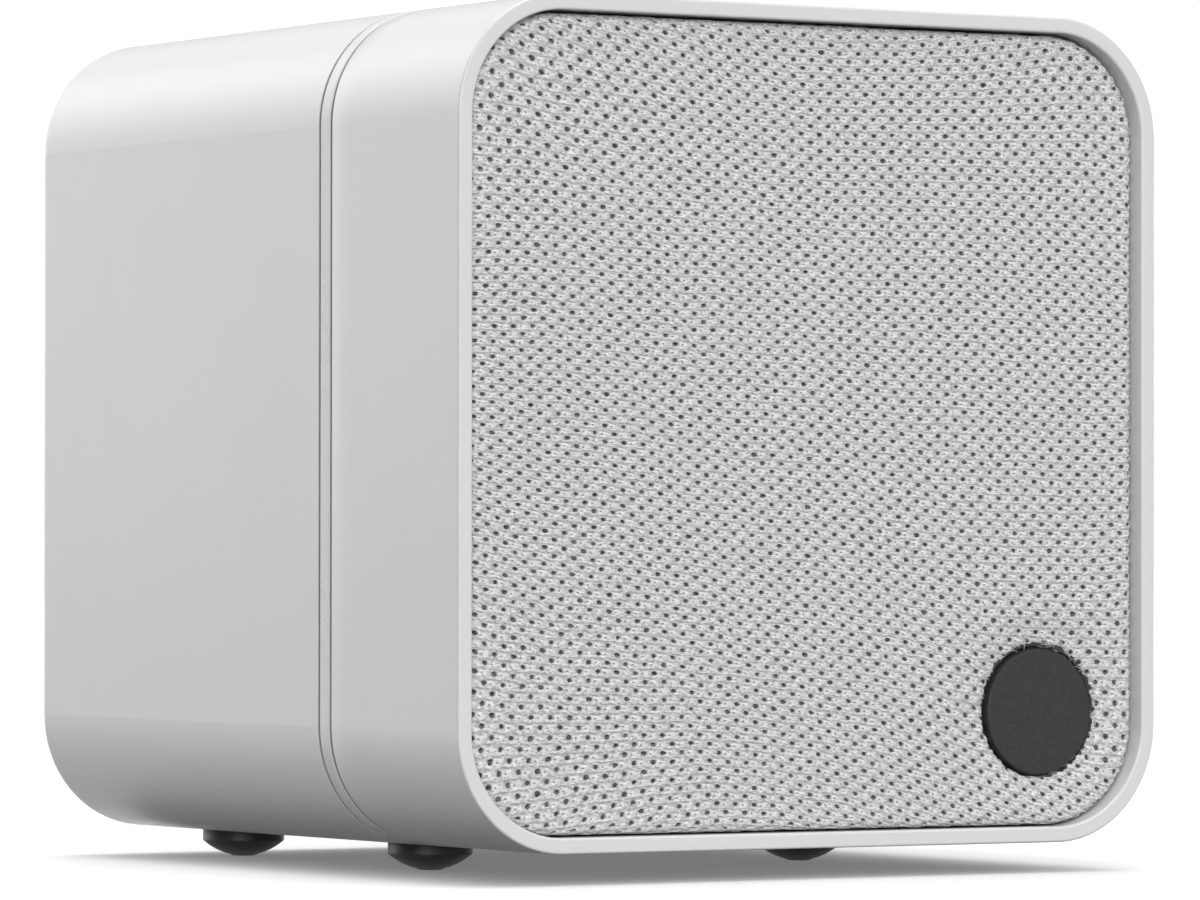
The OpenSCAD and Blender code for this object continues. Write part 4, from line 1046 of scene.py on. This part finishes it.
d_lo, d_hi = nbox("dust_cap")
rim, rise = 10.4, 2.6
big = (rim * rim + rise * rise) / (2 * rise)
base_y = FL + 5.2
prof = [(rim * i / 22, base_y - (math.sqrt(big * big - (rim * i / 22) ** 2) - (big - rise))) for i in range(23)]
prof += [(rim + 0.0, base_y + 0.12), (rim - 0.08, base_y + 0.3)]
prof += [(rim * i / 22, base_y + 0.35 - (math.sqrt(big * big - (rim * i / 22) ** 2) - (big - rise))) for i in range(21, -1, -1)]
cap = lathe("dome_cap", prof, 120, (0, ZC), close=False, sharp=60)
piece(cap, "driver_cone", "cone_paper", replaces=["dust_cap"])

# bead of glue between cap and cone
v, f = turned([(rim - 0.05 + 0.35 * math.cos(t), base_y - 0.18 + 0.22 * math.sin(t)) for t in np.linspace(0, 2 * math.pi, 12, endpoint=False)], 120, (0, ZC))
glue = add_mesh("cap_glue_bead", v, f)
fix_normals(glue)
MAT["glue"] = plastic("glue", g(0.012), g(0.02), rough=(0.2, 0.35), grain=700, depth=0.00004)
piece(glue, "driver_cone", MAT["glue"])

# ---------------------------------------------------------------- wires
mb_lo, mb_hi = nbox("main_board")
pp_lo, pp_hi = nbox("pole_plate")
gy0 = pp_lo[1]
z1 = mb_lo[2] + 3.4
for sx, nm, mt in ((1, "speaker_wire_red", "wire_red"), (-1, "speaker_wire_black", "wire_black")):
    route = [(sx * 3.2, gy0 + 9, ZC - 21.9), (sx * 3.2, gy0 + 12, ZC - 22.4), (sx * 3.2 - 2, gy0 + 18, ZC - 20),
             (sx * 2 - 12, gy0 + 26, ZC - 12), (sx * 1.4 - 18, mb_lo[1] - 14, z1 + 23.4),
             (sx * 1.25 - 20, mb_lo[1] - 8, z1 + 24.4), (sx * 1.25 - 20, mb_lo[1] - 2.2, z1 + 24.4)]
    v, f = tube_mesh(smooth_path(route, 12), 0.66, 16)
    ob = add_mesh(nm + "_lead", v, f, 50)
    piece(ob, "cabinet", mt, replaces=[nm])


# ---------------------------------------------------------------- acoustic foam pads
def foam_block(name, lo, hi, seed):
    """Soft open cell block: rounded corners, egg crate face towards the inside."""
    r2 = np.random.default_rng(seed)
    nx, ny, nz = 5, 24, 33
    cx, cy, cz = (lo + hi) / 2
    hx, hy, hz = (hi - lo) / 2
    idx, verts, faces = {}, [], []

    def vert(i, j, k):
        key = (i, j, k)
        if key in idx:
            return idx[key]
        a, b, c = 2 * i / nx - 1, 2 * j / ny - 1, 2 * k / nz - 1
        # superellipse rounding
        q = np.array([a * hx, b * hy, c * hz])
        rd = 1.6
        inner = np.array([hx - rd, hy - rd, hz - rd])
        e = np.sign(q) * np.maximum(np.abs(q) - inner, 0)
        ln = np.linalg.norm(e)
        if ln > 1e-9:
            q = np.sign(q) * np.minimum(np.abs(q), inner) + e / ln * min(ln, rd)
        inside = -1 if cx > 0 else 1
        if a * inside > 0.99:
            q[0] -= inside * (0.9 - 0.9 * math.cos(math.pi * b * 4) * math.cos(math.pi * c * 6)) * (1 - b ** 8) * (1 - c ** 8)
        q += r2.normal(0, 0.05, 3)
        idx[key] = len(verts)
        verts.append((cx + q[0], cy + q[1], cz + q[2]))
        return idx[key]

    for i in range(nx):
        for j in range(ny):
            for k in (0, nz):
                faces.append([vert(i, j, k), vert(i + 1, j, k), vert(i + 1, j + 1, k), vert(i, j + 1, k)])
    for i in range(nx):
        for k in range(nz):
            for j in (0, ny):
                faces.append([vert(i, j, k), vert(i + 1, j, k), vert(i + 1, j, k + 1), vert(i, j, k + 1)])
    for j in range(ny):
        for k in range(nz):
            for i in (0, nx):
                faces.append([vert(i, j, k), vert(i, j + 1, k), vert(i, j + 1, k + 1), vert(i, j, k + 1)])
    ob = add_mesh(name, verts, faces)
    fix_normals(ob)
    return ob


f_lo, f_hi = nbox("damping_foam")
for sx, nm in ((-1, "foam_pad_left"), (1, "foam_pad_right")):
    lo = np.array([f_lo[0] if sx < 0 else f_hi[0] - 8, f_lo[1], f_lo[2]]) + 0.1
    hi = np.array([f_lo[0] + 8 if sx < 0 else f_hi[0], f_hi[1], f_hi[2]]) - 0.1
    ob = foam_block(nm, lo, hi, 3 + sx)
    piece(ob, "cabinet", "foam_grey", replaces=["damping_foam"])

# ---------------------------------------------------------------- finishes of the CAD nodes that stay
SLOTS = {
    "cabinet_rear_shell": "gloss_white", "shell_gasket": "seal_black", "front_baffle": "baffle_black",
    "baffle_gasket": "seal_black", "baffle_screws": "screw_black", "grille_cups": "rubber_black",
    "grille_frame": "frame_black", "badge_clip": "screw_steel", "driver_basket": "basket_black",
    "driver_gasket": "seal_black", "driver_screws": "screw_black", "yoke_cup": "steel_zinc",
    "magnet": "magnet_nickel", "pole_plate": "steel_zinc", "cone": "cone_paper",
    "voice_coil_former": "former_kraft", "voice_coil_winding": "copper", "terminal_strip": "strip_board",
    "terminal_tags": "tag_brass", "mic_board": "board_green", "microphones": "mic_can", "mic_gaskets": "seal_black",
    "mic_ribbon_cable": "ribbon", "main_board": "board_green", "board_screws": "screw_steel",
    "board_chips": "chip_black", "heat_sink": "heatsink_alu", "radio_module": "board_green",
    "radio_shield": "shield_tin", "bulk_capacitors": "cap_sleeve", "output_inductors": "inductor_grey",
    "board_connectors": "connector_nylon", "dc_jack": "jack_black", "dc_jack_pin": "jack_pin",
    "tact_switch": "switch_black", "tact_plunger": "button_grey", "pair_button": "button_grey",
    "mute_switch": "switch_steel", "mute_slider": "button_grey", "status_led": "led_white",
    "light_pipe": "light_pipe", "rear_panel": "panel_black", "rear_panel_gasket": "seal_black",
    "rear_panel_screws": "screw_black", "wall_mount_insert": "insert_brass",
}
BEVEL = {"cabinet_rear_shell": 0.12, "front_baffle": 0.15, "grille_frame": 0.12, "rear_panel": 0.12, "pair_button": 0.15,
         "driver_basket": 0.1, "heat_sink": 0.08, "radio_shield": 0.12, "bulk_capacitors": 0.35, "main_board": 0.06,
         "board_chips": 0.08, "output_inductors": 0.2, "grille_cups": 0.12, "yoke_cup": 0.15, "wall_mount_insert": 0.1,
         "board_connectors": 0.08, "dc_jack": 0.12, "mute_slider": 0.06, "light_pipe": 0.05, "mute_switch": 0.08,
         "baffle_screws": 0.1, "driver_screws": 0.08, "board_screws": 0.08, "rear_panel_screws": 0.05,
         "microphones": 0.08, "tact_switch": 0.08, "terminal_tags": 0.05, "terminal_strip": 0.08, "badge_clip": 0.05}
for n, s in SLOTS.items():
    ob = N[n]
    if not ob.material_slots:
        ob.data.materials.append(MAT[s])
    for ms in ob.material_slots:
        ms.material = MAT[s]
    if n in BEVEL:
        bv = ob.modifiers.new("soft_edges", "BEVEL")
        bv.width = BEVEL[n] * 0.001
        bv.segments = 2
        bv.limit_method = "ANGLE"
        bv.angle_limit = math.radians(40)
        bv.use_clamp_overlap = True
        bv.harden_normals = False

# ---------------------------------------------------------------- floor, light
fl = bpy.data.meshes.new("floor")
R = 4.0
fl.from_pydata([(-R, -R, 0), (R, -R, 0), (R, R, 0), (-R, R, 0)], [], [(0, 1, 2, 3)])
floor = bpy.data.objects.new("floor", fl)
SC.collection.objects.link(floor)
km = M("floor", rough=0.9)
km.b.inputs["Specular IOR Level"].default_value = 0.2
fn = km.noise(60, 3)
km.b.inputs["Emission Color"].default_value = (1, 1, 1, 1)
km.b.inputs["Emission Strength"].default_value = 0.16
fl.materials.append(km.done(km.mix(km.rng(fn, 0.3, 0.7, 0, 1), g(0.955), g(0.975)), 0.9, km.bump(km.noise(900, 2), 0.00002)))
floor.visible_diffuse = False

w = bpy.data.worlds.new("studio")
SC.world = w
w.use_nodes = True
wt = w.node_tree
wt.nodes.clear()
wo = wt.nodes.new("ShaderNodeOutputWorld")


def wnode(kind, **p):
    n = wt.nodes.new(kind)
    for kk, vv in p.items():
        setattr(n, kk, vv)
    return n


tcw = wnode("ShaderNodeTexCoord")


def lobe(az, el, half, soft, power):
    """A soft light of the room: direction it comes from, radius in degrees, edge, strength."""
    a, e = math.radians(az), math.radians(el)
    d = (math.sin(a) * math.cos(e), -math.cos(a) * math.cos(e), math.sin(e))
    dp = wnode("ShaderNodeVectorMath", operation="DOT_PRODUCT")
    wt.links.new(tcw.outputs["Generated"], dp.inputs[0])
    dp.inputs[1].default_value = d
    mr = wnode("ShaderNodeMapRange", interpolation_type="SMOOTHSTEP")
    wt.links.new(dp.outputs["Value"], mr.inputs["Value"])
    mr.inputs["From Min"].default_value = math.cos(math.radians(min(half + soft, 179)))
    mr.inputs["From Max"].default_value = math.cos(math.radians(max(half - soft, 0)))
    mr.inputs["To Min"].default_value = 0
    mr.inputs["To Max"].default_value = power
    mr.name = "lobe"
    return mr.outputs["Result"]


LOBES = [(0, 90, 24, 15, 1.65), (32, 10, 28, 22, 0.41), (0, 35, 35, 25, 0.72), (-153, 8, 22, 16, 2.20),
         (150, 30, 50, 30, 0.50), (180, 60, 30, 20, 0.65), (-31, 5, 20, 15, 3.60)]
AMBIENT = 0.03
tot = None
for args in LOBES:
    o = lobe(*args)
    if tot is None:
        tot = o
    else:
        ad = wnode("ShaderNodeMath", operation="ADD")
        wt.links.new(tot, ad.inputs[0])
        wt.links.new(o, ad.inputs[1])
        tot = ad.outputs[0]
ad = wnode("ShaderNodeMath", operation="ADD")
wt.links.new(tot, ad.inputs[0])
ad.inputs[1].default_value = AMBIENT
ad.name = "ambient"
# nothing comes from below the floor
sp_ = wnode("ShaderNodeSeparateXYZ")
wt.links.new(tcw.outputs["Generated"], sp_.inputs[0])
mr = wnode("ShaderNodeMapRange", interpolation_type="SMOOTHSTEP")
wt.links.new(sp_.outputs[2], mr.inputs["Value"])
mr.inputs["From Min"].default_value = -0.27
mr.inputs["From Max"].default_value = 0.05
mr.inputs["To Min"].default_value = 0.05
mr.inputs["To Max"].default_value = 1.0
mu = wnode("ShaderNodeMath", operation="MULTIPLY")
wt.links.new(ad.outputs[0], mu.inputs[0])
wt.links.new(mr.outputs["Result"], mu.inputs[1])
bg = wnode("ShaderNodeBackground")
wt.links.new(mu.outputs[0], bg.inputs["Strength"])
bg.inputs["Color"].default_value = (1, 1, 1, 1)
bgc = wnode("ShaderNodeBackground")
bgc.inputs["Strength"].default_value = 1.05
bgc.inputs["Color"].default_value = (1, 1, 1, 1)
lp = wnode("ShaderNodeLightPath")
mx = wnode("ShaderNodeMixShader")
wt.links.new(lp.outputs["Is Camera Ray"], mx.inputs[0])
wt.links.new(bg.outputs[0], mx.inputs[1])
wt.links.new(bgc.outputs[0], mx.inputs[2])
wt.links.new(mx.outputs[0], wo.inputs[0])


def area(name, loc, target, size, power):
    ld = bpy.data.lights.new(name, "AREA")
    ld.shape = "SQUARE"
    ld.size = size
    ld.energy = power
    ob = bpy.data.objects.new(name, ld)
    SC.collection.objects.link(ob)
    ob.location = loc
    ob.rotation_euler = (Vector(target) - Vector(loc)).to_track_quat("-Z", "Y").to_euler()
    return ob


area("front_fill", (0.7, -1.3, 0.7), (0, 0, 0.04), 1.0, 2.2)
